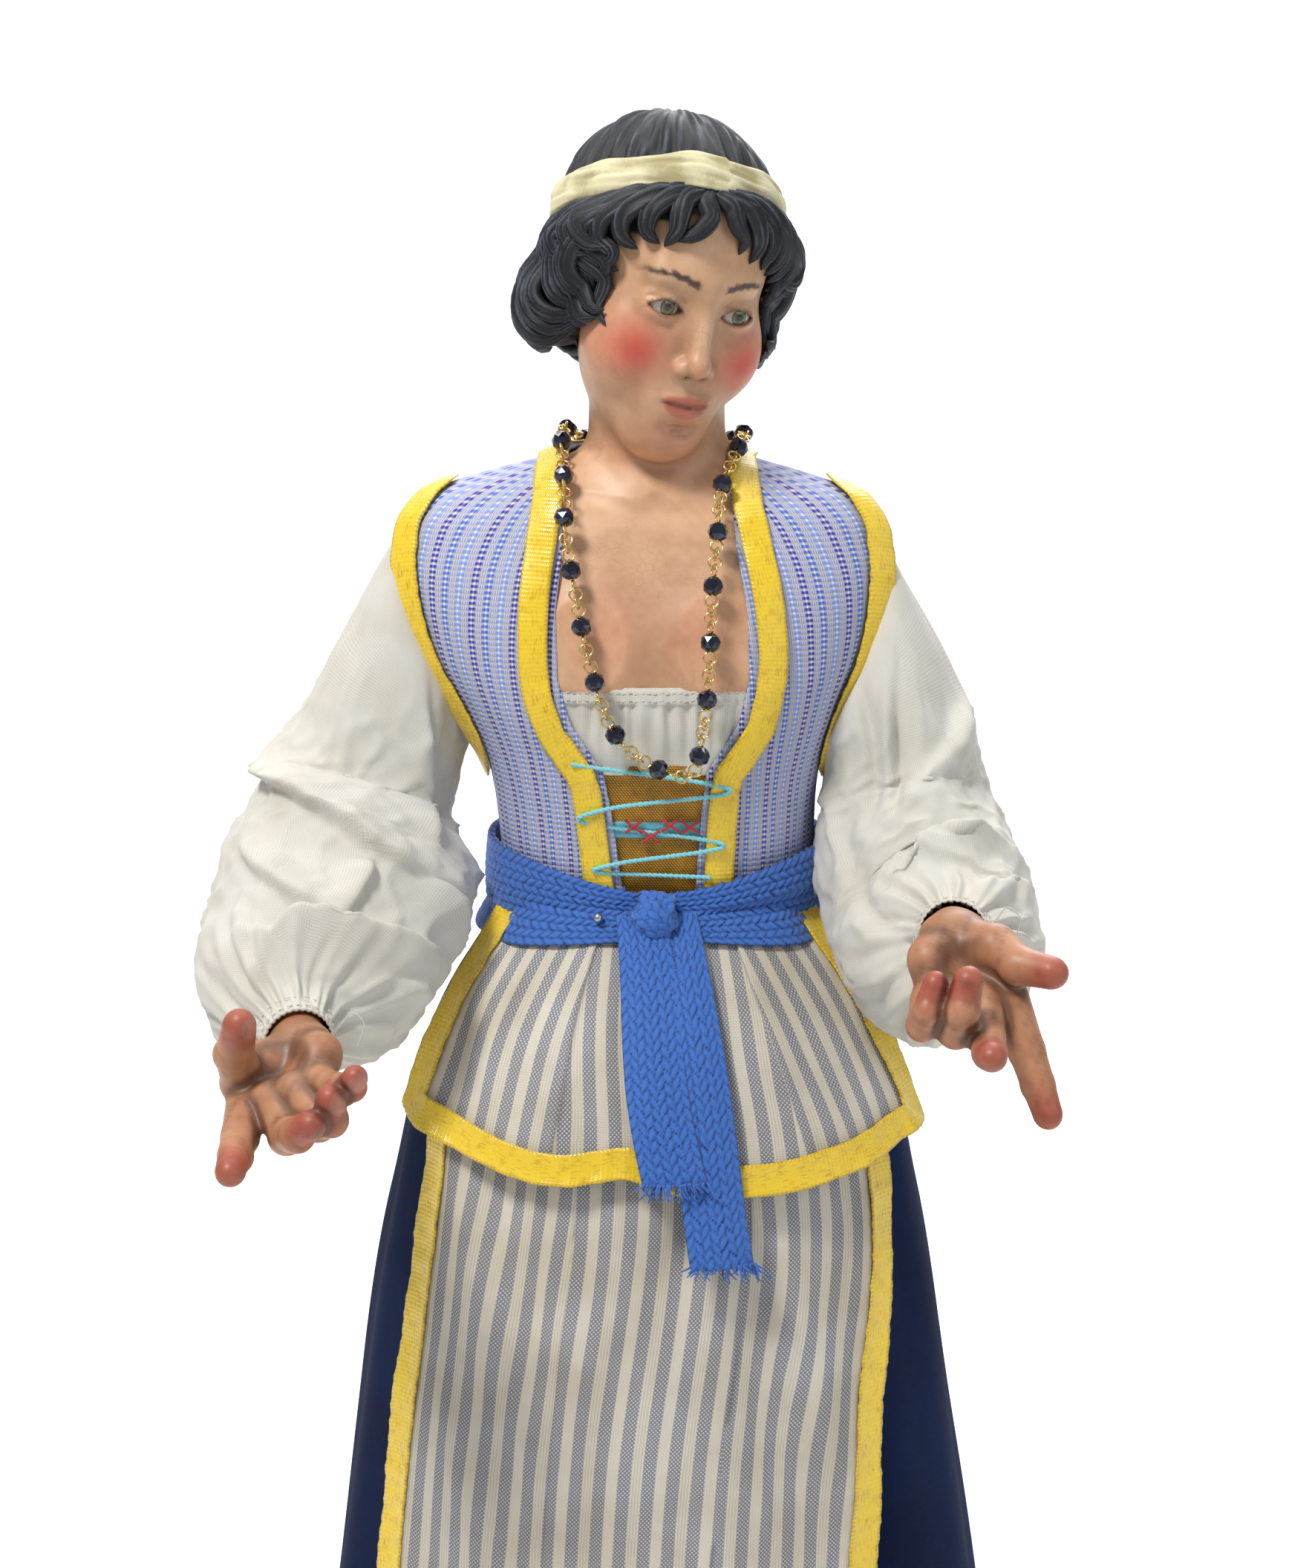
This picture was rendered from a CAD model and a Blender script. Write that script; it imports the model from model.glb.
"""A dressed crib figure of a woman: the looks of its painted clay and sewn clothes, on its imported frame.

Sizes are in millimetres until a mesh is made, in the frame's own axes: +Z up, and she faces -Y.
"""

from __future__ import annotations

import logging
import math
from dataclasses import dataclass, field
from enum import Enum
from typing import Callable, Mapping, Sequence

import bpy
import numpy as np
from mathutils import Matrix, Vector

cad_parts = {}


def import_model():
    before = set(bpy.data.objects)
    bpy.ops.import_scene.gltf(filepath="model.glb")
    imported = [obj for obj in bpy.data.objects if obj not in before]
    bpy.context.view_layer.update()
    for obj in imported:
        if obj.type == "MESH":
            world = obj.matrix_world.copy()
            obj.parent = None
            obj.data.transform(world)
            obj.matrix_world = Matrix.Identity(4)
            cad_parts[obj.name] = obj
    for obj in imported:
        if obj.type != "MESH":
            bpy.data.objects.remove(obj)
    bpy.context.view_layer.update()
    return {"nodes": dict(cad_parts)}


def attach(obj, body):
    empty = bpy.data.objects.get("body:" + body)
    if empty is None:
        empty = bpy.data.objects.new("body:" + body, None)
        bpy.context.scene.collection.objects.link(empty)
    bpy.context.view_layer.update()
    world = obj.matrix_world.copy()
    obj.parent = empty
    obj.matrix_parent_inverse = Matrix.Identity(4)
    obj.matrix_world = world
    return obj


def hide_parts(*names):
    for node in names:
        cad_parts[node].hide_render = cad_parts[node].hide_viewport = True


log = logging.getLogger("crib_figure")

Array = np.ndarray
Field = Callable[[Array], Array]
Node = bpy.types.Node
Tree = bpy.types.NodeTree
Thing = bpy.types.Object
Triple = tuple[float, float, float]

MM = 0.001
FIGURE_Z = 12.3  # the soles stand this high, on the base
WAIST = 230.7
HEM = 18.0
HIPS = 206.0  # below this the short apron and the sash's ends hang free
SHOULDERS = 304.0  # above this the torso rounds over
TORSO_TOP = 320.5
FULL_TURN = 2 * math.pi
HEAD_ROUND = 26.0  # mm over the hair for one radian


def linear(colour: str) -> tuple[float, float, float, float]:
    """Turns a colour linear.

    Args:
        colour: an sRGB hex value, such as "#c99470".

    Returns:
        Its linear red, green, blue and an alpha of 1.
    """
    parts = [int(colour[i : i + 2], 16) / 255 for i in (1, 3, 5)]
    red, green, blue = (c / 12.92 if c <= 0.04045 else ((c + 0.055) / 1.055) ** 2.4 for c in parts)
    return (red, green, blue, 1.0)


def rgb(colour: str) -> Array:
    """A hex colour as three linear numbers."""
    return np.array(linear(colour)[:3])


def add(
    tree: Tree, kind: str, inputs: Mapping[str | int, object] | None = None,
    stops: Sequence[tuple[float, str]] | None = None, **settings: object
) -> Node:
    """Adds a node with its settings and links.

    Args:
        tree: the material's node tree.
        kind: the node's type, without its ShaderNode prefix.
        inputs: for each input's name or number, a value, a hex colour, a socket, or a node for its
            first output.
        stops: a colour ramp's (position, hex colour) pairs, in order.
        settings: the node's own settings.

    Returns:
        The new node.
    """
    node = tree.nodes.new("ShaderNode" + kind)
    for name, value in settings.items():
        setattr(node, name, value)
    if stops:
        elements = node.color_ramp.elements
        elements.remove(elements[-1])
        elements[0].position, elements[0].color = stops[0][0], linear(stops[0][1])
        for position, colour in stops[1:]:
            elements.new(position).color = linear(colour)
    for socket, value in (inputs or {}).items():
        target = node.inputs[socket]
        if isinstance(value, bpy.types.Node):
            value = value.outputs[0]
        if isinstance(value, bpy.types.NodeSocket):
            tree.links.new(value, target)
        else:
            target.default_value = linear(value) if isinstance(value, str) else value
    return node


def lay_out(tree: Tree) -> tuple[bpy.types.NodeSocket, bpy.types.NodeSocket]:
    """The across and along coordinates of a cloth, in millimetres.

    Args:
        tree: the material's node tree.

    Returns:
        The socket for across and the socket for along.
    """
    flat = add(tree, "Attribute", attribute_name="lay")
    parts = add(tree, "SeparateXYZ", {0: flat.outputs["Vector"]})
    return parts.outputs[0], parts.outputs[1]


def pulse(
    tree: Tree, value: object, period: float, width: float, centre: float = 0.0, soft: float = 0.3,
) -> Node:
    """A repeated stripe: 1 inside it and 0 outside, with a soft edge.

    Args:
        tree: the material's node tree.
        value: the coordinate that it repeats along.
        period: from one stripe to the next.
        width: the stripe's width.
        centre: where one stripe's middle is.
        soft: the edge's width, as a share of the stripe's.

    Returns:
        The node that gives the stripe.
    """
    moved = add(tree, "Math", {0: value, 1: -centre}, operation="ADD")
    away = add(tree, "Math", {0: moved, 1: period / 2}, operation="PINGPONG")
    edge = width * soft / 2
    span = {"From Min": width / 2 - edge, "From Max": width / 2 + edge, "To Min": 1.0, "To Max": 0.0}
    return add(tree, "MapRange", {"Value": away, **span})


def weave(tree: Tree, across: object, along: object, thread: float) -> Node:
    """A plain weave: threads both ways, as heights from 0 to 2.

    Args:
        tree: the material's node tree.
        across: the coordinate across the cloth.
        along: the coordinate along it.
        thread: millimetres from one thread to the next.

    Returns:
        The node that gives the height.
    """
    weft = pulse(tree, along, thread, thread * 0.5, soft=1.0)
    warp = pulse(tree, across, thread, thread * 0.5, soft=1.0)
    return add(tree, "Math", {0: weft, 1: warp}, operation="ADD")


@dataclass(frozen=True)
class Finish:
    """What a surface is made of and how it was made."""

    name: str

    def material(self) -> bpy.types.Material:
        """The material, made once."""
        found = bpy.data.materials.get(self.name)
        if found is not None:
            return found
        made = bpy.data.materials.new(self.name)
        made.use_nodes = True
        tree = made.node_tree
        tree.nodes.clear()
        add(tree, "OutputMaterial", {"Surface": add(tree, "BsdfPrincipled", self.surface(tree))})
        return made

    def surface(self, tree: Tree) -> dict[str, object]:
        """Adds the finish's nodes and returns its shader's inputs."""
        raise NotImplementedError


@dataclass
class Shape:
    """A mesh in the making."""

    points: Array
    faces: list[Sequence[int]]
    values: dict[str, Array] = field(default_factory=dict)

    def __add__(self, other: Shape) -> Shape:
        """Both shapes in one mesh; values that either lacks are 0 there."""
        count = len(self.points)
        names = {**self.values, **other.values}
        joined = {}
        for name, sample in names.items():
            mine = self.values.get(name, np.zeros((count, *sample.shape[1:])))
            others = other.values.get(name, np.zeros((len(other.points), *sample.shape[1:])))
            joined[name] = np.concatenate([mine, others])
        faces = self.faces + [tuple(i + count for i in face) for face in other.faces]
        return Shape(np.vstack([self.points, other.points]), faces, joined)

    def raised(self, rise: float) -> Shape:
        """The same shape, with one rise value all over."""
        self.values["rise"] = np.full(len(self.points), rise)
        return self

    def piece(self, name: str, finish: Finish, slot: str, flat: bool = False) -> Thing:
        """Makes the Blender object, which rides on the figure.

        Args:
            name: the object's name.
            finish: its material.
            slot: the record's material slot.
            flat: True for a faceted look.

        Returns:
            The new object.
        """
        mesh = bpy.data.meshes.new(name)
        mesh.from_pydata((self.points * MM).tolist(), [], [tuple(map(int, face)) for face in self.faces])
        for key, values in self.values.items():
            kind = {1: "FLOAT", 2: "FLOAT_VECTOR"}[values.ndim]
            layer = mesh.attributes.new(key, kind, "POINT")
            layer.data.foreach_set(
                "value" if values.ndim == 1 else "vector", values.astype(np.float32).ravel(),
            )
        mesh.validate()
        mesh.polygons.foreach_set("use_smooth", [not flat] * len(mesh.polygons))
        mesh.materials.append(finish.material())
        thing = bpy.data.objects.new(name, mesh)
        bpy.context.scene.collection.objects.link(thing)
        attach(thing, "root")
        return thing


def gather(shapes: Sequence[Shape]) -> Shape:
    """Joins several shapes into one."""
    whole = shapes[0]
    for shape in shapes[1:]:
        whole = whole + shape
    return whole


def unit(v: Array) -> Array:
    """Vectors at length 1."""
    return v / np.maximum(np.linalg.norm(v, axis=-1, keepdims=True), 1e-9)


def stacked(*parts: Array | float) -> Array:
    """Coordinates from one array or number for each axis."""
    return np.stack(np.broadcast_arrays(*parts), axis=-1)


def paired(a: Array | float, b: Array | float) -> list[Array]:
    """Two arrays of floats in one common shape."""
    return np.broadcast_arrays(np.asarray(a, float), np.asarray(b, float))


def turns(count: int) -> Array:
    """Evenly spaced angles round a full turn."""
    return np.linspace(0, FULL_TURN, count, endpoint=False)


def ahead_of(points: Array, loop: bool = False, axis: int = 0) -> Array:
    """The way from each point of a line or grid to the next."""
    if loop:
        return (np.roll(points, -1, axis) - np.roll(points, 1, axis)) / 2
    return np.gradient(points, axis=axis)


def run_of(line: Array) -> Array:
    """How far along a line each of its points is."""
    return np.concatenate([[0], np.cumsum(np.linalg.norm(np.diff(line, axis=0), axis=1))])


def blend(t: Array, low: float, high: float, a: Array, b: Array) -> Array:
    """From a to b as t goes from low to high."""
    return (high - t) / (high - low) * a + (t - low) / (high - low) * b


def quads(
    rows: int, columns: int, start: int = 0, flip: bool = False, loop: bool = False,
) -> list[tuple[int, ...]]:
    """The faces of a grid of points.

    Args:
        rows: how many rows of points.
        columns: points in a row.
        start: the first point's number.
        flip: turns the faces over.
        loop: joins each row's end to its start.

    Returns:
        One tuple of four point numbers for each face.
    """
    i, j = np.meshgrid(np.arange(rows - 1), np.arange(columns if loop else columns - 1), indexing="ij")
    k = (j + 1) % columns
    corners = [i * columns + j, i * columns + k, (i + 1) * columns + k, (i + 1) * columns + j]
    if flip:
        corners.reverse()
    return [tuple(face) for face in (np.stack(corners, -1).reshape(-1, 4) + start).tolist()]


def way_out(grid: Array, loop: bool = False) -> Array:
    """The way out of each point of a grid, across its rows and columns."""
    return unit(np.cross(ahead_of(grid, loop, 1), ahead_of(grid)))


def cloth(
    grid: Array, thickness: float, lay: Array, loop: bool = False, under: Array | None = None,
    rise: Array | None = None,
) -> Shape:
    """A closed sheet of cloth under a grid of points.

    Args:
        grid: rows of points on its face, seen with the way out towards the viewer.
        thickness: how thick the cloth is.
        lay: each point's across and along coordinates on the flat cloth.
        loop: True where each row is a ring.
        under: the way out at each point, where it isn't the grid's own.
        rise: each point's share of a relief, from 0 to 1, which its finish darkens the gaps by.

    Returns:
        The sheet, with its lay and its rise.
    """
    rows, columns = grid.shape[:2]
    outward = way_out(grid, loop) if under is None else under
    back = grid - outward * thickness
    count = rows * columns
    faces = quads(rows, columns, 0, False, loop) + quads(rows, columns, count, True, loop)
    last = (rows - 1) * columns
    for j in range(columns if loop else columns - 1):
        k = (j + 1) % columns
        faces.append((j, count + j, count + k, k))
        faces.append((last + k, count + last + k, count + last + j, last + j))
    if not loop:
        for i in range(rows - 1):
            a, b = i * columns, (i + 1) * columns
            faces.append((b, count + b, count + a, a))
            c, d = a + columns - 1, b + columns - 1
            faces.append((c, count + c, count + d, d))
    flat = np.concatenate([lay.reshape(count, 2)] * 2)
    points = np.vstack([grid.reshape(count, 3), back.reshape(count, 3)])
    values = {"lay": np.column_stack([flat, np.zeros(2 * count)])}
    if rise is not None:
        values["rise"] = np.concatenate([rise.ravel()] * 2)
    return Shape(points, faces, values)


def smooth_line(points: Array, count: int, loop: bool = False) -> Array:
    """A smooth line through points, evenly spaced.

    Args:
        points: what it goes through.
        count: how many points to return.
        loop: True for a closed line.

    Returns:
        The line's points.
    """
    p = np.asarray(points, float)
    if loop:
        p = np.vstack([p[-1], p, p[0], p[1]])
    else:
        p = np.vstack([2 * p[0] - p[1], p, 2 * p[-1] - p[-2]])
    knots = np.concatenate([[0], np.cumsum(np.linalg.norm(np.diff(p, axis=0), axis=1) ** 0.5 + 1e-9)])
    fine = []
    for i in range(1, len(p) - 2):
        t = np.linspace(knots[i], knots[i + 1], 24, endpoint=False)[:, None]
        k = knots[i - 1 : i + 3]
        q = p[i - 1 : i + 3]
        a = [blend(t, k[j], k[j + 1], q[j], q[j + 1]) for j in range(3)]
        b = [blend(t, k[j], k[j + 2], a[j], a[j + 1]) for j in range(2)]
        fine.append(blend(t, k[1], k[2], b[0], b[1]))
    fine.append(p[-2][None] if not loop else fine[0][:1])
    line = np.vstack(fine)
    run = run_of(line)
    places = np.linspace(0, run[-1], count, endpoint=not loop)
    return np.column_stack([np.interp(places, run, line[:, axis]) for axis in range(3)])


def tube(
    line: Array, radius: float | Array, sides: int, side: Array | None = None, loop: bool = False,
) -> Shape:
    """A round tube along a line, closed at its ends.

    Args:
        line: its middle.
        radius: one radius, or one for each point.
        sides: points round it.
        side: a rough way sideways, where the line isn't near that way.
        loop: True for a closed ring.

    Returns:
        The tube.
    """
    ahead = unit(ahead_of(line, loop))
    u = np.empty_like(line)
    u[0] = np.cross(ahead[0], [0.3, 0.2, 0.93] if side is None else side)
    for i in range(1, len(line)):
        u[i] = u[i - 1] - ahead[i] * (u[i - 1] @ ahead[i])
    u = unit(u)
    if loop:
        gap = u[-1] - ahead[0] * (u[-1] @ ahead[0])
        turn = math.atan2(np.cross(u[0], unit(gap)) @ ahead[0], u[0] @ unit(gap))
        spin = -turn * np.arange(len(line)) / len(line)
        v = np.cross(ahead, u)
        u = u * np.cos(spin)[:, None] + v * np.sin(spin)[:, None]
    v = np.cross(ahead, u)
    angle = np.arange(sides) * FULL_TURN / sides
    reach = np.broadcast_to(np.asarray(radius, float), (len(line),))[:, None, None]
    ring = u[:, None] * np.cos(angle)[None, :, None] + v[:, None] * np.sin(angle)[None, :, None]
    points = (line[:, None] + reach * ring).reshape(-1, 3)
    faces = quads(len(line), sides, 0, False, True)
    last = (len(line) - 1) * sides
    if loop:
        faces += [(last + j, last + (j + 1) % sides, (j + 1) % sides, j) for j in range(sides)]
    else:
        faces.append(tuple(range(sides - 1, -1, -1)))
        faces.append(tuple(range(last, last + sides)))
    around = np.tile(np.arange(sides) / sides, len(line))
    run = np.repeat(run_of(line), sides)
    return Shape(points, faces, {"lay": np.column_stack([around, run, np.zeros(len(run))])})


def waver(x: Array, seed: int, longest: float, terms: int = 7) -> Array:
    """Smooth chance waves, between about -1 and 1.

    Args:
        x: places, as (..., n) coordinates in millimetres.
        seed: which waves.
        longest: the longest wave's length.
        terms: how many waves are summed.

    Returns:
        One value for each place.
    """
    rng = np.random.default_rng(seed)
    x = np.asarray(x, float)
    total = np.zeros(x.shape[:-1])
    for i in range(terms):
        way = rng.normal(size=x.shape[-1])
        way *= FULL_TURN / (longest * 0.72**i * np.linalg.norm(way))
        total += 0.8**i * np.sin(x @ way + rng.uniform(0, FULL_TURN))
    return total / 2.2


def step(x: Array, low: float, high: float) -> Array:
    """0 below low, 1 above high and smooth between, or the other way round where high is less."""
    t = np.clip((np.asarray(x, float) - low) / (high - low), 0, 1)
    return t * t * (3 - 2 * t)


def through(stations: Array, height: Array) -> Array:
    """Smooth values through stations of [height, ...values].

    Args:
        stations: rows in order of height.
        height: where the values are wanted.

    Returns:
        One row of values for each height.
    """
    x, y = stations[:, 0], stations[:, 1:]
    slope = np.gradient(y, x, axis=0)
    h = np.clip(np.asarray(height, float), x[0], x[-1])
    i = np.clip(np.searchsorted(x, h) - 1, 0, len(x) - 2)
    width = x[i + 1] - x[i]
    t = ((h - x[i]) / width)[..., None]
    w = width[..., None]
    value = (2 * t**3 - 3 * t**2 + 1) * y[i] + (t**3 - 2 * t**2 + t) * w * slope[i]
    return value + (3 * t**2 - 2 * t**3) * y[i + 1] + (t**3 - t**2) * w * slope[i + 1]


# Modelled clay: distances to a form, below 0 inside it, and the mesh of its surface.


def ball(p: Array, centre: Sequence[float], radii: Sequence[float]) -> Array:
    """Distances to a ball or an egg."""
    q = (p - centre) / radii
    near = np.linalg.norm(q, axis=-1)
    return near * (near - 1) / np.maximum(np.linalg.norm(q / radii, axis=-1), 1e-6)


def rod(p: Array, a: Sequence[float], b: Sequence[float], ra: float, rb: float) -> Array:
    """Distances to a round rod that tapers."""
    start, line = np.asarray(a, float), np.subtract(b, a)
    t = np.clip((p - start) @ line / (line @ line), 0, 1)
    return np.linalg.norm(p - start - t[..., None] * line, axis=-1) - (ra + (rb - ra) * t)


def join(a: Array, b: Array, soft: float) -> Array:
    """Two forms joined with a soft crease."""
    h = np.maximum(soft - np.abs(a - b), 0) / soft
    return np.minimum(a, b) - h * h * soft / 4


def mirrored(p: Array) -> Array:
    """Points with their x above 0, for a form that is the same on both sides."""
    return stacked(np.abs(p[..., 0]), p[..., 1], p[..., 2])


def carve(a: Array, b: Array, soft: float) -> Array:
    """Form a with form b cut out of it."""
    return -join(-a, b, soft)


def slope_of(form: Field, points: Array, reach: float = 0.05) -> Array:
    """Which way a form's distance grows at each point."""
    grown = [form(points + reach * axis) - form(points - reach * axis) for axis in np.eye(3)]
    return np.stack(grown, axis=-1) / (2 * reach)


def window(data: Array, corner: Sequence[int], size: Sequence[int]) -> Array:
    """The part of a grid that starts at a corner."""
    return data[tuple(slice(start, start + length) for start, length in zip(corner, size))]


def model(form: Field, low: Sequence[float], high: Sequence[float], grain: float) -> Shape:
    """The surface of a form, as quads that follow it.

    Args:
        form: distances to it.
        low: the lowest corner of the space that it is in.
        high: the highest corner.
        grain: the size of a face.

    Returns:
        Its surface.
    """
    coarse = 4
    batch = 200000
    low = np.asarray(low, float)
    count = np.ceil((np.asarray(high, float) - low) / (grain * coarse)).astype(int)
    places = [low[axis] + (np.arange(count[axis]) + 0.5) * grain * coarse for axis in range(3)]
    rough = form(np.stack(np.meshgrid(*places, indexing="ij"), -1).reshape(-1, 3)).reshape(count)
    near = np.abs(rough) < grain * coarse * 1.6
    values = rough.repeat(coarse, 0).repeat(coarse, 1).repeat(coarse, 2)
    close = near.repeat(coarse, 0).repeat(coarse, 1).repeat(coarse, 2)
    spots = np.argwhere(close)
    values[close] = np.concatenate([
        form(low + (part + 0.5) * grain) for part in np.array_split(spots, max(1, len(spots) // batch))
    ])
    inside = values < 0
    total = np.zeros((*(np.array(values.shape) - 1), 3))
    hits = np.zeros(total.shape[:3])
    corners = [(a, b, c) for a in (0, 1) for b in (0, 1) for c in (0, 1)]
    n = total.shape[:3]
    for o in corners:
        for axis in range(3):
            if o[axis]:
                continue
            e = tuple(v + (k == axis) for k, v in enumerate(o))
            va, vb = window(values, o, n), window(values, e, n)
            cross = window(inside, o, n) != window(inside, e, n)
            t = np.where(cross, va / np.where(cross, va - vb, 1), 0)
            for k in range(3):
                total[..., k] += cross * (o[k] + (t if k == axis else 0))
            hits += cross
    cells = np.argwhere(hits > 0)
    number = np.full(n, -1)
    number[tuple(cells.T)] = np.arange(len(cells))
    middles = total[tuple(cells.T)] / hits[tuple(cells.T)][:, None]
    points = low + (cells + middles + 0.5) * grain
    faces = []
    for axis in range(3):
        u, v = (axis + 1) % 3, (axis + 2) % 3
        shift = [0, 0, 0]
        shift[axis] = 1
        here = inside[tuple(slice(0, size - s) for size, s in zip(inside.shape, shift))]
        there = inside[tuple(slice(s, None) for s in shift)]
        for flip, kind in ((False, here & ~there), (True, ~here & there)):
            edges = np.argwhere(kind)
            edges = edges[(edges[:, u] > 0) & (edges[:, v] > 0)]
            edges = edges[(edges[:, u] < n[u]) & (edges[:, v] < n[v]) & (edges[:, axis] < n[axis])]
            ring = []
            for du, dv in ((-1, -1), (0, -1), (0, 0), (-1, 0)):
                cell = edges.copy()
                cell[:, u] += du
                cell[:, v] += dv
                ring.append(number[tuple(cell.T)])
            face = np.stack(ring[::-1] if flip else ring, -1)
            faces += [tuple(f) for f in face[(face >= 0).all(1)].tolist()]
    for _ in range(2):
        slope = slope_of(form, points)
        near = form(points)[:, None]
        move = near * slope / np.maximum((slope**2).sum(-1, keepdims=True), 0.2)
        points = points - np.clip(move, -grain / 2, grain / 2)
    return Shape(points, faces)


# The forms under the clothes: rounded sections at each height.


@dataclass(frozen=True)
class Body:
    """A form with a rounded section at each height, in figure heights above the soles."""

    stations: Array  # height, half width, half depth, middle's y, middle's x
    power: float
    folds: int = 0
    fold_depth: float = 0.0

    def fold(self, angle: Array, height: Array) -> Array:
        """How far the folds stand out."""
        if not self.folds:
            return np.zeros(np.broadcast(angle, height).shape)
        fall = np.clip((WAIST - height) / (WAIST - HEM), 0, 1)
        beside = step(-np.cos(angle), -0.5, 0.2)
        return self.fold_depth * beside * fall**1.2 * np.cos(self.folds * angle + 0.9 * np.sin(3 * angle))

    def radius(self, angle: Array, height: Array) -> Array:
        """How far the surface is from the middle, at an angle from the front."""
        angle, height = paired(angle, height)
        row = through(self.stations, height)
        across = np.abs(np.sin(angle) / row[..., 0]) ** self.power
        along = np.abs(np.cos(angle) / row[..., 1]) ** self.power
        return (across + along) ** (-1 / self.power) + self.fold(angle, height)

    def point(self, angle: Array, height: Array, out: Array | float = 0.0) -> Array:
        """Points on the surface, or so far out of it, in the frame's axes."""
        angle, height = paired(angle, height)
        row = through(self.stations, height)
        r = self.radius(angle, height) + out
        return stacked(row[..., 3] + r * np.sin(angle), row[..., 2] - r * np.cos(angle), height + FIGURE_Z)

    def angle_of(self, x: Array, height: Array) -> Array:
        """The angle of the front surface's point at a given x."""
        x, height = paired(x, height)
        low, high = np.full(x.shape, -math.pi / 2), np.full(x.shape, math.pi / 2)
        for _ in range(30):
            middle = (low + high) / 2
            less = self.point(middle, height)[..., 0] < x
            low, high = np.where(less, middle, low), np.where(less, high, middle)
        return (low + high) / 2

    def front(self, x: Array, height: Array, out: Array | float = 0.0) -> Array:
        """Points on the front surface at a given x, or so far out of it."""
        return self.point(self.angle_of(x, height), height, out)

    def reaches(self, p: Array) -> tuple[Array, Array]:
        """How far points are from the middle at their height, and how far the surface is there."""
        height = p[..., 2] - FIGURE_Z
        row = through(self.stations, height)
        across, ahead = p[..., 0] - row[..., 3], row[..., 2] - p[..., 1]
        return np.hypot(across, ahead), self.radius(np.arctan2(across, ahead), height)

    def outside(self, p: Array) -> Array:
        """Above 0 outside the surface and below 0 inside it."""
        own, surface = self.reaches(p)
        return own / surface - 1

    def settle(self, p: Array) -> tuple[Array, Array]:
        """The surface's nearest points to p, and the way out there."""
        at = np.array(p, float)
        for _ in range(6):
            slope = slope_of(self.outside, at)
            at = at - slope * (self.outside(at) / np.maximum((slope**2).sum(-1), 1e-9))[..., None]
        return at, unit(slope_of(self.outside, at))

    def pushed(self, p: Array, lift: Array | float, share: Array) -> Array:
        """Points moved out to at least so far off the surface, by a share of what is missing."""
        at, out = self.settle(p)
        depth = np.einsum("...k,...k->...", p - at, out)
        return p + out * (np.clip(lift - depth, 0, None) * share)[..., None]


TORSO = Body(
    np.array([
        [222, 32.2, 24.6, -1, 0], [240, 32.6, 25.4, -1.5, 0], [259, 35.2, 27.3, -2, -0.6],
        [269, 39.6, 28, -2, -1.2], [278, 44.6, 27.5, -1.5, -1.8], [290, 48.2, 25.5, -1, -2.5],
        [301, 48.6, 22, 0, -2.9], [308, 46.4, 18.5, 0.5, -3], [312, 42, 15.5, 1, -3],
        [315, 33, 13.5, 1.5, -2.6], [318, 22, 11.5, 2, -2], [TORSO_TOP, 15, 10, 2.2, -1.5],
    ]),
    power=2.3,
)
SKIRT = Body(
    np.array([
        [HEM, 78, 66, -2, 0], [104, 66.5, 56, -2.5, 0], [160, 57.5, 49, -3, 0], [206, 45, 37, -3, 0],
        [WAIST, 28.4, 20.6, -1.5, 0],
    ]),
    power=2.15, folds=11, fold_depth=3.0,
)
# Height, left edge and right edge of the opening down the bodice's front.
OPENING = np.array([
    [222, -7.2, 8.6], [235, -8.4, 9.2], [250, -10.4, 10.2], [258, -12, 11.2], [262, -14.5, 13.8],
    [268, -18.6, 17.6], [277, -21, 19.6], [290, -21.4, 19.2], [304, -19.8, 16.4], [314, -18.4, 14],
    [326, -17.6, 13],
])


@dataclass(frozen=True)
class Layers:
    """How high each layer of the clothes lies over what is under it."""

    bodice_ribbon: float = 0.84
    long_apron: float = 0.5
    long_ribbon: float = 2.2
    short_apron: float = 3.1
    short_ribbon: float = 5.3
    sash: float = 6.2
    sash_beside: float = 2.6
    ribbon: float = 0.6


LAYERS = Layers()


# Finishes.


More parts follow.
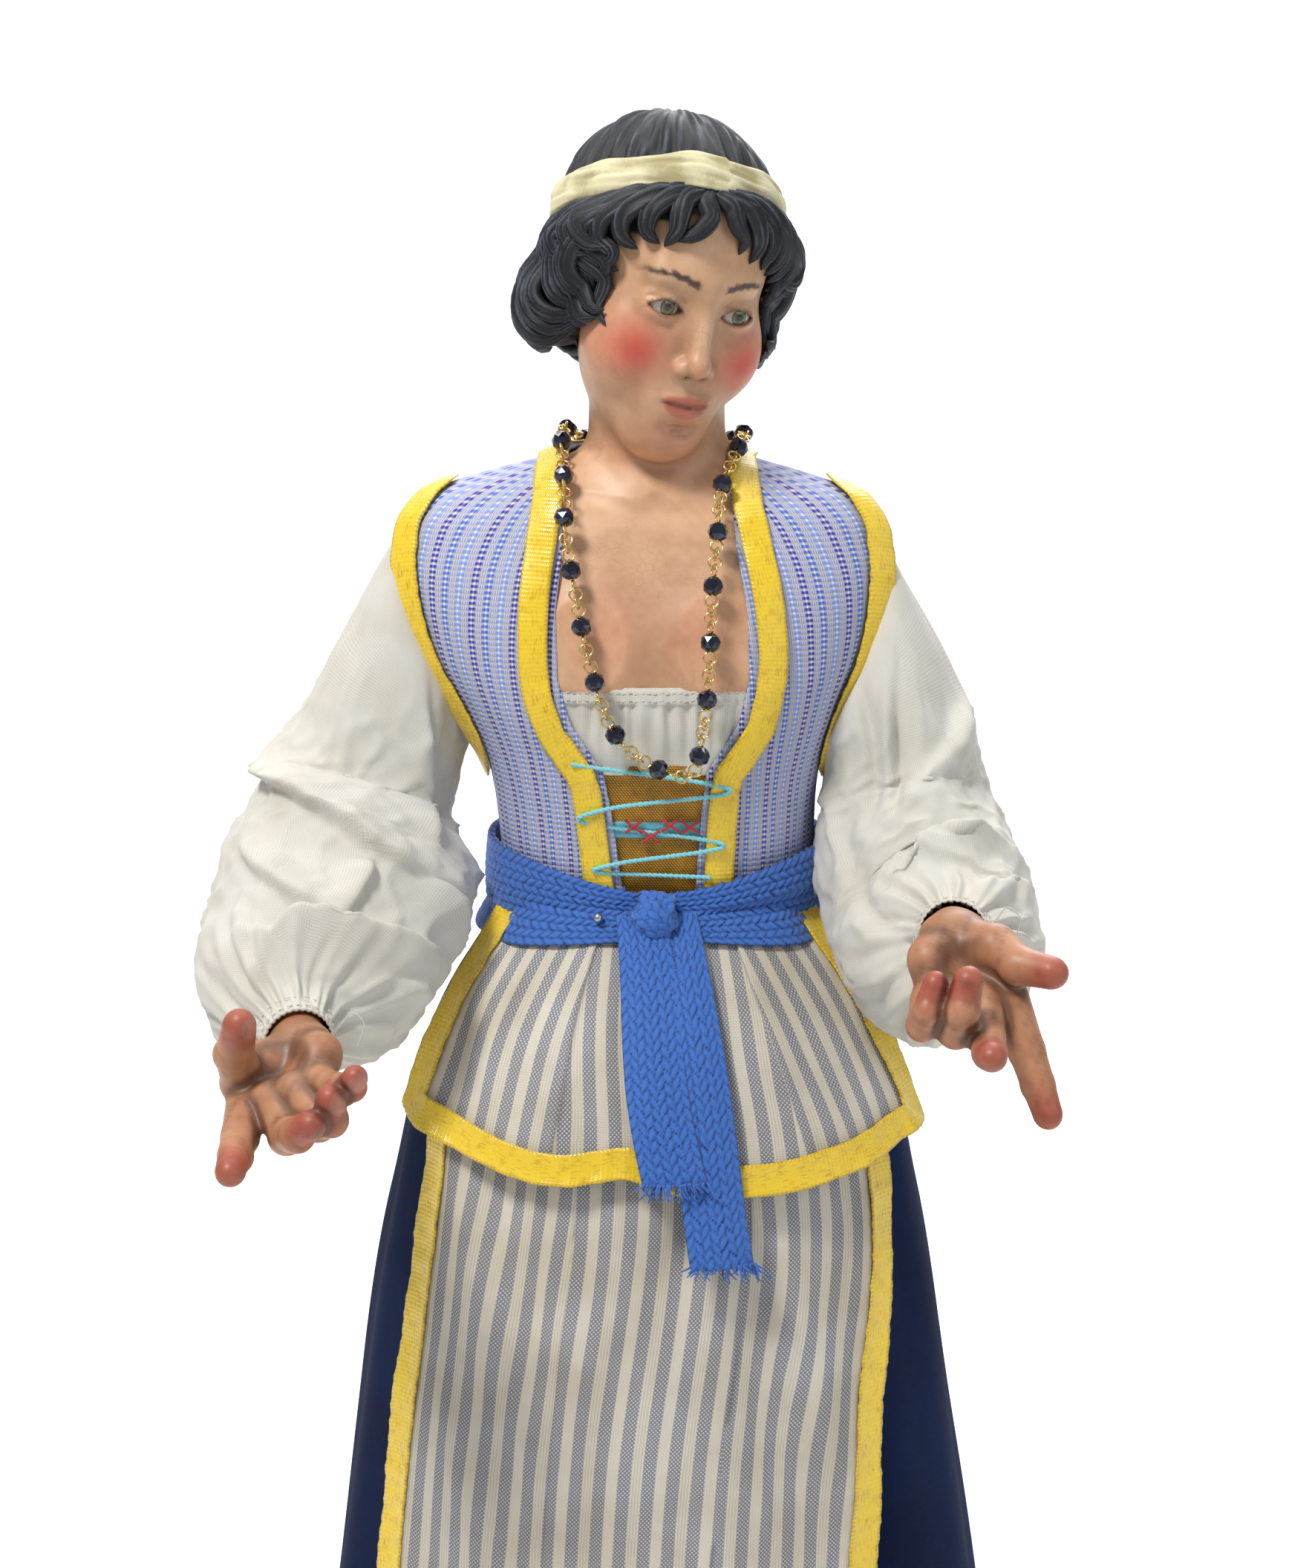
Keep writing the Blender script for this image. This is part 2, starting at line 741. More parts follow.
@dataclass(frozen=True)
class DashedCotton(Finish):
    """Dobby-woven cotton: pale ribs across, dotted rows between them, and columns of paired dyed dashes."""

    rib: str = "#b4b6ca"
    dot: str = "#6f769e"
    light: str = "#dadbe6"
    violet: str = "#2f2ba4"
    blue: str = "#3f68cc"
    pale: str = "#7d98e0"
    column: float = 2.75  # mm from one column of dashes to the next
    row: float = 1.1  # mm from one rib to the next
    thread: float = 0.42  # mm; drawn a little coarser than the real thread, so that it shows

    def surface(self, tree: Tree) -> dict[str, object]:
        """Adds the finish's nodes and returns its shader's inputs."""
        across, along = lay_out(tree)
        ribs = pulse(tree, along, self.row, self.row * 0.45, soft=0.5)
        dots = pulse(tree, across, self.thread, self.thread * 0.5, soft=0.9)
        dotted = add(tree, "MixRGB", {"Fac": dots, "Color1": self.dot, "Color2": self.light})
        colour = add(tree, "MixRGB", {"Fac": ribs, "Color1": dotted, "Color2": self.rib})
        between = add(tree, "Math", {0: 1.0, 1: ribs}, operation="SUBTRACT")
        raised = between
        for place, dye in enumerate((self.violet, self.blue, self.pale)):
            centre = place * self.column
            line = pulse(tree, across, 3 * self.column, 1.3, centre, soft=0.25)
            middle = pulse(tree, across, 3 * self.column, 0.3, centre, soft=0.8)
            dash = add(tree, "Math", {0: between, 1: 0.88, 2: 0.12}, operation="MULTIPLY_ADD")
            drawn = add(tree, "Math", {0: line, 1: dash}, operation="MULTIPLY")
            colour = add(tree, "MixRGB", {"Fac": drawn, "Color1": colour, "Color2": dye})
            spot = add(tree, "Math", {0: ribs, 1: 0.7, 2: 0.2}, operation="MULTIPLY_ADD")
            shown = add(tree, "Math", {0: middle, 1: spot}, operation="MULTIPLY")
            colour = add(tree, "MixRGB", {"Fac": shown, "Color1": colour, "Color2": "#eef2fc"})
            raised = add(tree, "Math", {0: raised, 1: drawn}, operation="ADD")
        bump = add(tree, "Bump", {"Strength": 0.5, "Distance": 0.14 * MM, "Height": raised})
        return {"Base Color": colour, "Roughness": 0.85, "Normal": bump}


@dataclass(frozen=True)
class SatinRibbon(Finish):
    """Polyester satin: smooth floats that gleam along the ribbon, between two woven edges of small loops."""

    bright: str = "#f3d023"
    deep: str = "#b9870b"
    width: float = 6.0
    loop: float = 0.9  # mm between the loops of the edges

    def surface(self, tree: Tree) -> dict[str, object]:
        """Adds the finish's nodes and returns its shader's inputs."""
        across, along = lay_out(tree)
        place = add(tree, "CombineXYZ", {0: across, 1: along})
        slant = add(tree, "Math", {0: along, 1: 0.55, 2: across}, operation="MULTIPLY_ADD")
        floats = pulse(tree, slant, 0.42, 0.22, soft=0.9)
        broad = add(tree, "TexNoise", {"Vector": place, "Scale": 0.35, "Detail": 3.0})
        streaks = add(tree, "Mapping", {"Vector": place, "Scale": (3.2, 0.5, 1.0)})
        fine = add(tree, "TexNoise", {"Vector": streaks, "Scale": 1.0, "Detail": 3.0})
        tone = add(tree, "Math", {0: broad, 1: 0.6, 2: fine}, operation="MULTIPLY_ADD")
        colour = add(tree, "ValToRGB", {"Fac": tone}, stops=[(0.4, self.deep), (0.78, self.bright)])
        edge = pulse(tree, across, self.width, 0.9, soft=0.6)
        loops = pulse(tree, along, self.loop, self.loop * 0.45, soft=0.8)
        dark = add(tree, "Math", {0: edge, 1: loops}, operation="MULTIPLY")
        faint = add(tree, "Math", {0: dark, 1: 0.45}, operation="MULTIPLY")
        colour = add(tree, "MixRGB", {"Fac": faint, "Color1": colour, "Color2": "#9a7208"})
        height = add(tree, "Math", {0: floats, 1: loops}, operation="ADD")
        bump = add(tree, "Bump", {"Strength": 0.4, "Distance": 0.1 * MM, "Height": height})
        rough = add(tree, "MapRange", {"Value": fine, "To Min": 0.2, "To Max": 0.36})
        return {
            "Base Color": colour, "Roughness": rough, "Specular IOR Level": 0.8, "Sheen Weight": 0.2,
            "Normal": bump,
        }


@dataclass(frozen=True)
class FineCotton(Finish):
    """Plain-woven cotton batiste: off-white, matt, with the weave just visible."""

    thread_colour: str = "#e3e2dc"
    gap: str = "#c6c3ba"
    thread: float = 0.38  # mm; drawn coarser than the real 0.15 mm, so that it shows

    def surface(self, tree: Tree) -> dict[str, object]:
        """Adds the finish's nodes and returns its shader's inputs."""
        across, along = lay_out(tree)
        woven = weave(tree, across, along, self.thread)
        place = add(tree, "TexCoord").outputs["Object"]
        slubs = add(tree, "TexNoise", {"Vector": place, "Scale": 90.0, "Detail": 4.0})
        half = add(tree, "Math", {0: woven, 1: 0.5}, operation="MULTIPLY")
        colour = add(tree, "MixRGB", {"Fac": half, "Color1": self.gap, "Color2": self.thread_colour})
        tint = add(tree, "ValToRGB", {"Fac": slubs}, stops=[(0.3, "#e9e6dc"), (0.7, "#ffffff")])
        colour = add(tree, "MixRGB", {"Fac": 0.6, "Color1": colour, "Color2": tint}, blend_type="MULTIPLY")
        bump = add(tree, "Bump", {"Strength": 0.22, "Distance": 0.06 * MM, "Height": woven})
        return {"Base Color": colour, "Roughness": 0.9, "Sheen Weight": 0.12, "Normal": bump}


@dataclass(frozen=True)
class StripedCotton(Finish):
    """Plain-woven cotton in cream, with stripes where the warp is grey and the weft makes white specks."""

    cream: str = "#dcd6c8"
    grey: str = "#787b86"
    speck: str = "#dcdcda"
    period: float = 5.1  # mm from stripe to stripe
    wide: float = 2.7
    thread: float = 0.46

    def surface(self, tree: Tree) -> dict[str, object]:
        """Adds the finish's nodes and returns its shader's inputs."""
        across, along = lay_out(tree)
        woven = weave(tree, across, along, self.thread)
        rise = add(tree, "Math", {0: across, 1: along}, operation="ADD")
        fall = add(tree, "Math", {0: across, 1: along}, operation="SUBTRACT")
        one = pulse(tree, rise, self.thread * 1.8, self.thread * 1.0, soft=0.6)
        other = pulse(tree, fall, self.thread * 1.8, self.thread * 1.0, soft=0.6)
        specks = add(tree, "Math", {0: one, 1: other}, operation="MULTIPLY")
        dyed = add(tree, "MixRGB", {"Fac": specks, "Color1": self.grey, "Color2": self.speck})
        lines = pulse(tree, across, self.period / 8, 0.2, soft=0.9)
        lined = pulse(tree, across, 2 * self.period, self.period, self.period / 2, soft=0.05)
        faint = add(tree, "Math", {0: lined, 1: 0.34, 2: 0.12}, operation="MULTIPLY_ADD")
        faint = add(tree, "Math", {0: lines, 1: faint}, operation="MULTIPLY")
        plain = add(tree, "MixRGB", {"Fac": faint, "Color1": self.cream, "Color2": "#9c978c"})
        stripe = pulse(tree, across, self.period, self.wide, soft=0.12)
        colour = add(tree, "MixRGB", {"Fac": stripe, "Color1": plain, "Color2": dyed})
        place = add(tree, "TexCoord").outputs["Object"]
        uneven = add(tree, "TexNoise", {"Vector": place, "Scale": 60.0, "Detail": 5.0})
        tint = add(tree, "ValToRGB", {"Fac": uneven}, stops=[(0.35, "#ded9cd"), (0.65, "#ffffff")])
        colour = add(tree, "MixRGB", {"Fac": 0.7, "Color1": colour, "Color2": tint}, blend_type="MULTIPLY")
        bump = add(tree, "Bump", {"Strength": 0.4, "Distance": 0.1 * MM, "Height": woven})
        return {"Base Color": colour, "Roughness": 0.9, "Normal": bump}


@dataclass(frozen=True)
class GoldThreadTwill(Finish):
    """Twill of brown silk and flat gold thread: slanted ribs with dull metal glints."""

    gold: str = "#dba02a"
    brown: str = "#6a450b"
    rib: float = 0.64

    def surface(self, tree: Tree) -> dict[str, object]:
        """Adds the finish's nodes and returns its shader's inputs."""
        across, along = lay_out(tree)
        slant = add(tree, "Math", {0: along, 1: 0.8, 2: across}, operation="MULTIPLY_ADD")
        ribs = pulse(tree, slant, self.rib, self.rib * 0.55, soft=0.6)
        steps = pulse(tree, along, 0.5, 0.32, soft=0.6)
        lit = add(tree, "Math", {0: ribs, 1: steps}, operation="MULTIPLY")
        place = add(tree, "TexCoord").outputs["Object"]
        worn = add(tree, "TexNoise", {"Vector": place, "Scale": 450.0, "Detail": 3.0})
        even = add(tree, "Math", {0: worn, 1: 0.4}, operation="MULTIPLY")
        gleam = add(tree, "Math", {0: lit, 1: 0.65, 2: even}, operation="MULTIPLY_ADD")
        colour = add(tree, "ValToRGB", {"Fac": gleam}, stops=[(0.15, self.brown), (0.75, self.gold)])
        bump = add(tree, "Bump", {"Strength": 0.5, "Distance": 0.12 * MM, "Height": ribs})
        return {"Base Color": colour, "Roughness": 0.48, "Metallic": 0.1, "Normal": bump}


@dataclass(frozen=True)
class Yarn(Finish):
    """Spun yarn: matt, with fibres along it and darker hollows between its strands."""

    lit: str
    hollow: str
    fibre: float = 0.25  # mm between fibres

    def surface(self, tree: Tree) -> dict[str, object]:
        """Adds the finish's nodes and returns its shader's inputs."""
        deep = add(tree, "Attribute", attribute_name="rise")
        place = add(tree, "TexCoord").outputs["Object"]
        mottled = add(tree, "TexNoise", {"Vector": place, "Scale": 0.35 / (self.fibre * MM), "Detail": 3.0})
        tone = add(tree, "Math", {0: mottled, 1: 0.5, 2: deep.outputs["Fac"]}, operation="MULTIPLY_ADD")
        colour = add(tree, "ValToRGB", {"Fac": tone}, stops=[(0.3, self.hollow), (0.95, self.lit)])
        bump = add(tree, "Bump", {"Strength": 0.5, "Distance": 0.15 * MM, "Height": mottled})
        return {"Base Color": colour, "Roughness": 0.8, "Sheen Weight": 0.25, "Normal": bump}


@dataclass(frozen=True)
class PlainCotton(Finish):
    """Plain dyed cotton: matt and dark, with a faint rib."""

    dye: str = "#0a1838"
    faded: str = "#11244c"
    rib: float = 0.5

    def surface(self, tree: Tree) -> dict[str, object]:
        """Adds the finish's nodes and returns its shader's inputs."""
        across, along = lay_out(tree)
        woven = weave(tree, across, along, self.rib)
        place = add(tree, "TexCoord").outputs["Object"]
        uneven = add(tree, "TexNoise", {"Vector": place, "Scale": 35.0, "Detail": 6.0})
        colour = add(tree, "ValToRGB", {"Fac": uneven}, stops=[(0.35, self.dye), (0.75, self.faded)])
        bump = add(tree, "Bump", {"Strength": 0.35, "Distance": 0.1 * MM, "Height": woven})
        return {"Base Color": colour, "Roughness": 0.88, "Specular IOR Level": 0.12, "Normal": bump}


@dataclass(frozen=True)
class PaintedClay(Finish):
    """Oil paint and old varnish over fired clay: a soft gloss, faint mottling and fine age cracks."""

    rough: float = 0.46
    gloss: float = 0.12
    crack: float = 2.2  # mm between cracks

    def surface(self, tree: Tree) -> dict[str, object]:
        """Adds the finish's nodes and returns its shader's inputs."""
        paint = add(tree, "Attribute", attribute_name="paint")
        place = add(tree, "TexCoord").outputs["Object"]
        mottle = add(tree, "TexNoise", {"Vector": place, "Scale": 180.0, "Detail": 6.0, "Roughness": 0.6})
        tint = add(tree, "ValToRGB", {"Fac": mottle}, stops=[(0.3, "#e6dccb"), (0.65, "#ffffff")])
        colour = add(
            tree, "MixRGB", {"Fac": 0.75, "Color1": paint.outputs["Color"], "Color2": tint},
            blend_type="MULTIPLY",
        )
        bent = add(tree, "TexNoise", {"Vector": place, "Scale": 300.0, "Detail": 3.0})
        warped = add(
            tree, "VectorMath", {0: bent.outputs["Color"], 1: (0.0012, 0.0012, 0.0012)},
            operation="MULTIPLY",
        )
        moved = add(tree, "VectorMath", {0: place, 1: warped}, operation="ADD")
        cells = add(
            tree, "TexVoronoi", {"Vector": moved.outputs[0], "Scale": 1 / (self.crack * MM)},
            feature="DISTANCE_TO_EDGE",
        )
        gaps = add(tree, "MapRange", {"Value": cells, "From Max": 0.02, "To Min": 1.0, "To Max": 0.0})
        where = add(tree, "TexNoise", {"Vector": place, "Scale": 70.0, "Detail": 2.0})
        some = add(tree, "MapRange", {"Value": where, "From Min": 0.52, "From Max": 0.68})
        shown = add(tree, "Math", {0: gaps, 1: some}, operation="MULTIPLY")
        faint = add(tree, "Math", {0: shown, 1: 0.35}, operation="MULTIPLY")
        colour = add(tree, "MixRGB", {"Fac": faint, "Color1": colour, "Color2": "#6b4630"})
        height = add(tree, "Math", {0: mottle, 1: faint}, operation="SUBTRACT")
        bump = add(tree, "Bump", {"Strength": 0.25, "Distance": 0.12 * MM, "Height": height})
        rough = add(
            tree, "MapRange", {"Value": mottle, "To Min": self.rough - 0.1, "To Max": self.rough + 0.16},
        )
        return {
            "Base Color": colour, "Roughness": rough, "Coat Weight": self.gloss, "Coat Roughness": 0.3,
            "Normal": bump,
        }


@dataclass(frozen=True)
class PaintedLocks(Finish):
    """Black oil paint over modelled locks: a soft gloss, worn to blue-grey along their ridges."""

    black: str = "#0f1116"
    worn: str = "#585c68"

    def surface(self, tree: Tree) -> dict[str, object]:
        """Adds the finish's nodes and returns its shader's inputs."""
        rise = add(tree, "Attribute", attribute_name="rise")
        lay = add(tree, "Attribute", attribute_name="lay")
        drawn = add(tree, "Mapping", {"Vector": lay.outputs["Vector"], "Scale": (2.6, 0.16, 1.0)})
        hairs = add(tree, "TexNoise", {"Vector": drawn, "Scale": 1.0, "Detail": 4.0, "Roughness": 0.6})
        place = add(tree, "TexCoord").outputs["Object"]
        patches = add(tree, "TexNoise", {"Vector": place, "Scale": 160.0, "Detail": 6.0, "Roughness": 0.65})
        worn = add(tree, "Math", {0: patches, 1: rise.outputs["Fac"]}, operation="MULTIPLY")
        tone = add(tree, "Math", {0: hairs, 1: 0.55, 2: worn}, operation="MULTIPLY_ADD")
        colour = add(
            tree, "ValToRGB", {"Fac": tone}, stops=[(0.42, self.black), (0.6, "#1c1f27"), (0.86, self.worn)],
        )
        height = add(tree, "Math", {0: hairs, 1: patches}, operation="ADD")
        bump = add(tree, "Bump", {"Strength": 0.5, "Distance": 0.25 * MM, "Height": height})
        return {
            "Base Color": colour, "Roughness": 0.58, "Coat Weight": 0.05, "Coat Roughness": 0.35,
            "Normal": bump,
        }


@dataclass(frozen=True)
class PaintedLinen(Finish):
    """Gessoed linen under cream paint: matt, yellowed, with dirt in its creases."""

    cream: str = "#ddd6b0"
    aged: str = "#a99f74"

    def surface(self, tree: Tree) -> dict[str, object]:
        """Adds the finish's nodes and returns its shader's inputs."""
        place = add(tree, "TexCoord").outputs["Object"]
        stains = add(tree, "TexNoise", {"Vector": place, "Scale": 110.0, "Detail": 8.0, "Roughness": 0.7})
        rise = add(tree, "Attribute", attribute_name="rise")
        tone = add(tree, "Math", {0: rise.outputs["Fac"], 1: 0.5, 2: stains}, operation="MULTIPLY_ADD")
        colour = add(tree, "ValToRGB", {"Fac": tone}, stops=[(0.55, self.aged), (0.85, self.cream)])
        bump = add(tree, "Bump", {"Strength": 0.5, "Distance": 0.25 * MM, "Height": stains})
        return {"Base Color": colour, "Roughness": 0.72, "Normal": bump}


@dataclass(frozen=True)
class GlassEye(Finish):
    """Blown glass painted from behind: a grey-green iris under a wet-looking gloss."""

    iris_radius: float = 1.75

    def surface(self, tree: Tree) -> dict[str, object]:
        """Adds the finish's nodes and returns its shader's inputs."""
        gaze = add(tree, "Attribute", attribute_name="lay")
        reach = add(tree, "VectorMath", {0: gaze.outputs["Vector"]}, operation="LENGTH")
        share = add(tree, "Math", {0: reach.outputs["Value"], 1: 2 * self.iris_radius}, operation="DIVIDE")
        rings = [
            (0.0, "#060504"), (0.19, "#0a0907"), (0.23, "#4f4a2c"), (0.38, "#7d7850"), (0.46, "#34301f"),
            (0.52, "#c9c4b6"), (0.8, "#d8d0c4"), (1.0, "#c99a8a"),
        ]
        colour = add(tree, "ValToRGB", {"Fac": share}, stops=rings)
        rays = add(tree, "TexNoise", {"Vector": gaze.outputs["Vector"], "Scale": 2.5, "Detail": 4.0})
        tint = add(tree, "ValToRGB", {"Fac": rays}, stops=[(0.35, "#b9b3a0"), (0.65, "#ffffff")])
        colour = add(tree, "MixRGB", {"Fac": 0.6, "Color1": colour, "Color2": tint}, blend_type="MULTIPLY")
        return {"Base Color": colour, "Roughness": 0.12, "Coat Weight": 1.0, "Coat Roughness": 0.03}


@dataclass(frozen=True)
class Metal(Finish):
    """Drawn or turned metal with a fine brushed gleam."""

    tone: str
    rough: float

    def surface(self, tree: Tree) -> dict[str, object]:
        """Adds the finish's nodes and returns its shader's inputs."""
        place = add(tree, "TexCoord").outputs["Object"]
        tarnish = add(tree, "TexNoise", {"Vector": place, "Scale": 900.0, "Detail": 3.0})
        rough = add(
            tree, "MapRange", {"Value": tarnish, "To Min": self.rough - 0.08, "To Max": self.rough + 0.12},
        )
        tint = add(tree, "ValToRGB", {"Fac": tarnish}, stops=[(0.25, "#b5a48c"), (0.6, "#ffffff")])
        colour = add(
            tree, "MixRGB", {"Fac": 0.6, "Color1": self.tone, "Color2": tint}, blend_type="MULTIPLY",
        )
        return {"Base Color": colour, "Metallic": 1.0, "Roughness": rough}


@dataclass(frozen=True)
class CutGlass(Finish):
    """Black cut glass with a thin blue metal film: mirror-bright flat facets."""

    body: str = "#0c0f1e"

    def surface(self, tree: Tree) -> dict[str, object]:
        """Adds the finish's nodes and returns its shader's inputs."""
        place = add(tree, "TexCoord").outputs["Object"]
        film = add(tree, "TexNoise", {"Vector": place, "Scale": 400.0, "Detail": 1.0})
        colour = add(
            tree, "ValToRGB", {"Fac": film}, stops=[(0.35, self.body), (0.55, "#161c38"), (0.7, "#2b2f4a")],
        )
        return {
            "Base Color": colour, "Metallic": 0.55, "Roughness": 0.1, "Coat Weight": 1.0,
            "Coat Roughness": 0.03,
        }


@dataclass(frozen=True)
class StainedWood(Finish):
    """Stained and waxed beech: brown, with long darker grain."""

    light: str = "#7a5331"
    dark: str = "#42270f"
    grain: float = 1.6

    def surface(self, tree: Tree) -> dict[str, object]:
        """Adds the finish's nodes and returns its shader's inputs."""
        place = add(tree, "TexCoord").outputs["Object"]
        drawn = add(tree, "Mapping", {"Vector": place, "Scale": (0.06, 1.0, 1.0)})
        rings = add(tree, "TexNoise", {"Vector": drawn, "Scale": 0.5 / (self.grain * MM), "Detail": 8.0})
        colour = add(tree, "ValToRGB", {"Fac": rings}, stops=[(0.35, self.dark), (0.65, self.light)])
        bump = add(tree, "Bump", {"Strength": 0.25, "Distance": 0.2 * MM, "Height": rings})
        rough = add(tree, "MapRange", {"Value": rings, "To Min": 0.35, "To Max": 0.55})
        return {"Base Color": colour, "Roughness": rough, "Normal": bump}


@dataclass(frozen=True)
class StudioSheet(Finish):
    """The pale matt sheet that the figure stands on."""

    tone: str = "#f4f4f4"

    def surface(self, tree: Tree) -> dict[str, object]:
        """Adds the finish's nodes and returns its shader's inputs."""
        return {"Base Color": self.tone, "Roughness": 0.9}


class Finishes:
    """The finishes of this figure, one of each."""

    dashed = DashedCotton("woven_dashed_cotton")
    satin = SatinRibbon("yellow_satin_ribbon")
    batiste = FineCotton("plain_woven_white_cotton")
    striped = StripedCotton("woven_striped_cotton")
    gold_twill = GoldThreadTwill("gold_thread_twill")
    wool = Yarn("plaited_blue_wool", "#3a70c6", "#173572")
    silk_cord = Yarn("twisted_turquoise_silk", "#86d6e2", "#3b93a8", 0.15)
    red_floss = Yarn("red_embroidery_floss", "#d23a3a", "#7d1414", 0.15)
    navy = PlainCotton("plain_navy_cotton")
    skin = PaintedClay("oil_painted_terracotta")
    locks = PaintedLocks("black_painted_locks")
    band = PaintedLinen("cream_painted_linen")
    eye = GlassEye("blown_glass_eye")
    gilt = Metal("gilt_brass_wire", "#f3d68e", 0.24)
    steel = Metal("turned_steel", "#c7cacf", 0.25)
    jet = CutGlass("cut_black_glass")
    wood = StainedWood("stained_beech")
    sheet = StudioSheet("matt_studio_sheet")


# The clothes.


def drape(angle: Array, height: Array) -> Array:
    """How far the folds down the skirt's front lift everything that lies there, 0 or more."""
    angle, height = paired(angle, height)
    fall = np.clip((WAIST - height) / 60, 0, 1)
    ahead = step(np.cos(angle), 0.0, 0.5)
    places = stacked(angle * 55, height * 0.16)
    return ahead * fall * (1.1 + 1.1 * waver(places, 5, 46, 4))


def below_hips(height: Array) -> Array:
    """How far below the hips, 0 above them and 1 at 30 mm under them."""
    return np.clip((HIPS - height) / 30, 0, None)


@dataclass(frozen=True)
class Skirt:
    """The gathered skirt of plain navy cotton."""

    thickness: float = 0.8
    rows: int = 70
    columns: int = 240
    hem_tuck: float = 6.0

    def build(self) -> list[Thing]:
        """Makes the skirt.

        Returns:
            The sheet, declared as real cloth.
        """
        height = np.linspace(HEM, WAIST - 0.3, self.rows)[:, None]
        angle = turns(self.columns)[None, :]
        top = step(height, WAIST - 30, WAIST)
        gathers = 0.5 * top * np.sin(74 * angle + 2 * np.sin(5 * angle))
        places = stacked(np.cos(angle) * 60, np.sin(angle) * 60, height * 0.3)
        back = step(np.cos(angle), 0.3, -0.1)
        loose = back * 1.2 * waver(places, 8, 60, 5) * step(height, WAIST, WAIST - 60)
        tuck = 0.5 * (height < HEM + self.hem_tuck)
        out = drape(angle, height) + gathers * (0.3 + 0.7 * back) + loose + tuck
        grid = SKIRT.point(angle, height, out - 0.4)
        lay = stacked(angle * 62, height)
        piece = cloth(grid, self.thickness, lay, loop=True).piece("skirt_cloth", Finishes.navy, "navy_cloth")
        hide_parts("skirt")
        return [piece]


@dataclass(frozen=True)
class Apron:
    """An apron of striped cotton, pleated at the waist and edged with ribbon."""

    name: str
    edges: tuple[Triple, ...]  # height, left x, right x
    hem_left: float
    hem_right: float
    hem_sag: float
    lift: float
    ribbon_lift: float
    flat: tuple[float, float]  # metres
    cut: float  # its flat area in square metres
    rows: int
    flare: float = 0.0
    fullness: float = 0.6  # how deep its loose folds are
    thickness: float = 0.45
    pleats: tuple[tuple[float, float], ...] = ((0.34, 0.3), (0.71, 0.74))
    pleat_depth: float = 0.9
    columns: int = 38  # between two pleats
    ribbon_width: float = 6.0

    def hem(self, s: Array) -> Array:
        """The hem's height, across the apron."""
        sag = np.sin(math.pi * np.clip(s, 0, 1)) ** 0.8 - 0.4 * np.exp(-(((s - 0.43) / 0.08) ** 2))
        return self.hem_left + (self.hem_right - self.hem_left) * s - self.hem_sag * sag

    def ends(self, height: Array) -> tuple[Array, Array]:
        """The angles of its left and right edges."""
        heights = np.linspace(self.edges[0][0], WAIST, 160)
        sides = through(np.array(self.edges), heights)
        left = SKIRT.angle_of(sides[:, 0], heights)
        right = SKIRT.angle_of(sides[:, 1], heights)
        return np.interp(height, heights, left), np.interp(height, heights, right)

    def stand(self, s: Array, height: Array, angle: Array) -> Array:
        """How far its face stands off the skirt, before its own folds' thickness."""
        fall = below_hips(height)
        curl = 1 + 0.5 * np.sin(9 * s + 0.8) if self.flare else 0.0
        loose = step(height, WAIST - 8, WAIST - 40)
        slanted = stacked(s * 90 + height * 0.25, height * 0.2)
        wave = loose * self.fullness * (waver(slanted, 21, 30, 4) + 0.35 * waver(slanted, 24, 13, 5))
        raised = np.clip(wave + 0.4 * self.fullness, 0, None)
        return drape(angle, height) + self.flare * fall**2 * curl + raised

    def place(self, s: Array, height: Array, out: Array | float, inward: Array | float = 0.0) -> Array:
        """Points on the apron.

        Args:
            s: how far across, from 0 to 1.
            height: the height above the soles.
            out: how far out of its underside's lift.
            inward: millimetres further to the right.

        Returns:
            The points, in the frame's axes.
        """
        s, height = paired(s, height)
        left, right = self.ends(height)
        reach = SKIRT.radius((left + right) / 2 + (right - left) * (s - 0.5), height)
        angle = left + (right - left) * s + inward / reach
        t = (angle - left) / (right - left)
        return SKIRT.point(angle, height, out + self.stand(t, height, angle))

    def width(self, height: Array) -> Array:
        """How wide it lies at a height, along the cloth."""
        left, right = self.ends(height)
        beside = SKIRT.radius(left, height) + SKIRT.radius(right, height)
        middle = (beside + 2 * SKIRT.radius(0.0, height)) / 4
        return (right - left) * middle * 1.04

    def pleat(self, number: int, share: Array) -> Array:
        """Where a pleat's edge is across the apron, from its hem at 0 to its top at 1."""
        top, low = self.pleats[number]
        return low + (top - low) * share

    def build(self) -> list[Thing]:
        """Makes the apron and its ribbon.

        Returns:
            Both pieces.
        """
        share = np.linspace(0, 1, self.rows)[:, None]
        stops = [np.zeros_like(share), self.pleat(0, share), self.pleat(1, share), np.ones_like(share)]
        places, jumps, ledges = [], [], []
        u = np.linspace(0, 1, self.columns)[None, :]
        for k in range(3):
            places.append(stops[k] + (stops[k + 1] - stops[k]) * u)
            jumps.append(np.full_like(u, k) + 0 * share)
            away = u * (stops[k + 1] - stops[k]) * 90
            ledges.append(np.exp(-away / 3.5) * (k == 2) + np.exp(-(away[:, ::-1]) / 3.5) * (k == 0))
        s = np.hstack(places)
        low = self.hem(s)
        height = low + (WAIST - 0.5 - low) * share
        wide = self.width(height)
        most = max(self.width(np.array([self.edges[0][0], low.min()])).max(), wide.max())
        taken = most - wide  # one half is taken up in the pleats, the other in small gathers
        across = s * (wide + taken / 2) + np.hstack(jumps) * taken / 4
        fade = step(height, WAIST - 48, WAIST - 6)
        out = self.lift + self.thickness + np.hstack(ledges) * fade * self.pleat_depth
        small = waver(stacked(across, height * 0.4), 31, 26, 6)
        grid = self.place(s, height, out + 0.12 + 0.12 * small)
        lay = stacked(across - most / 2 + 0.4, height)
        sheet = cloth(grid, self.thickness, lay)
        piece = sheet.piece(f"{self.name}_cloth", Finishes.striped, "striped_cotton")
        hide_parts(self.name)
        ribbon = self.edging()
        return [piece, ribbon]

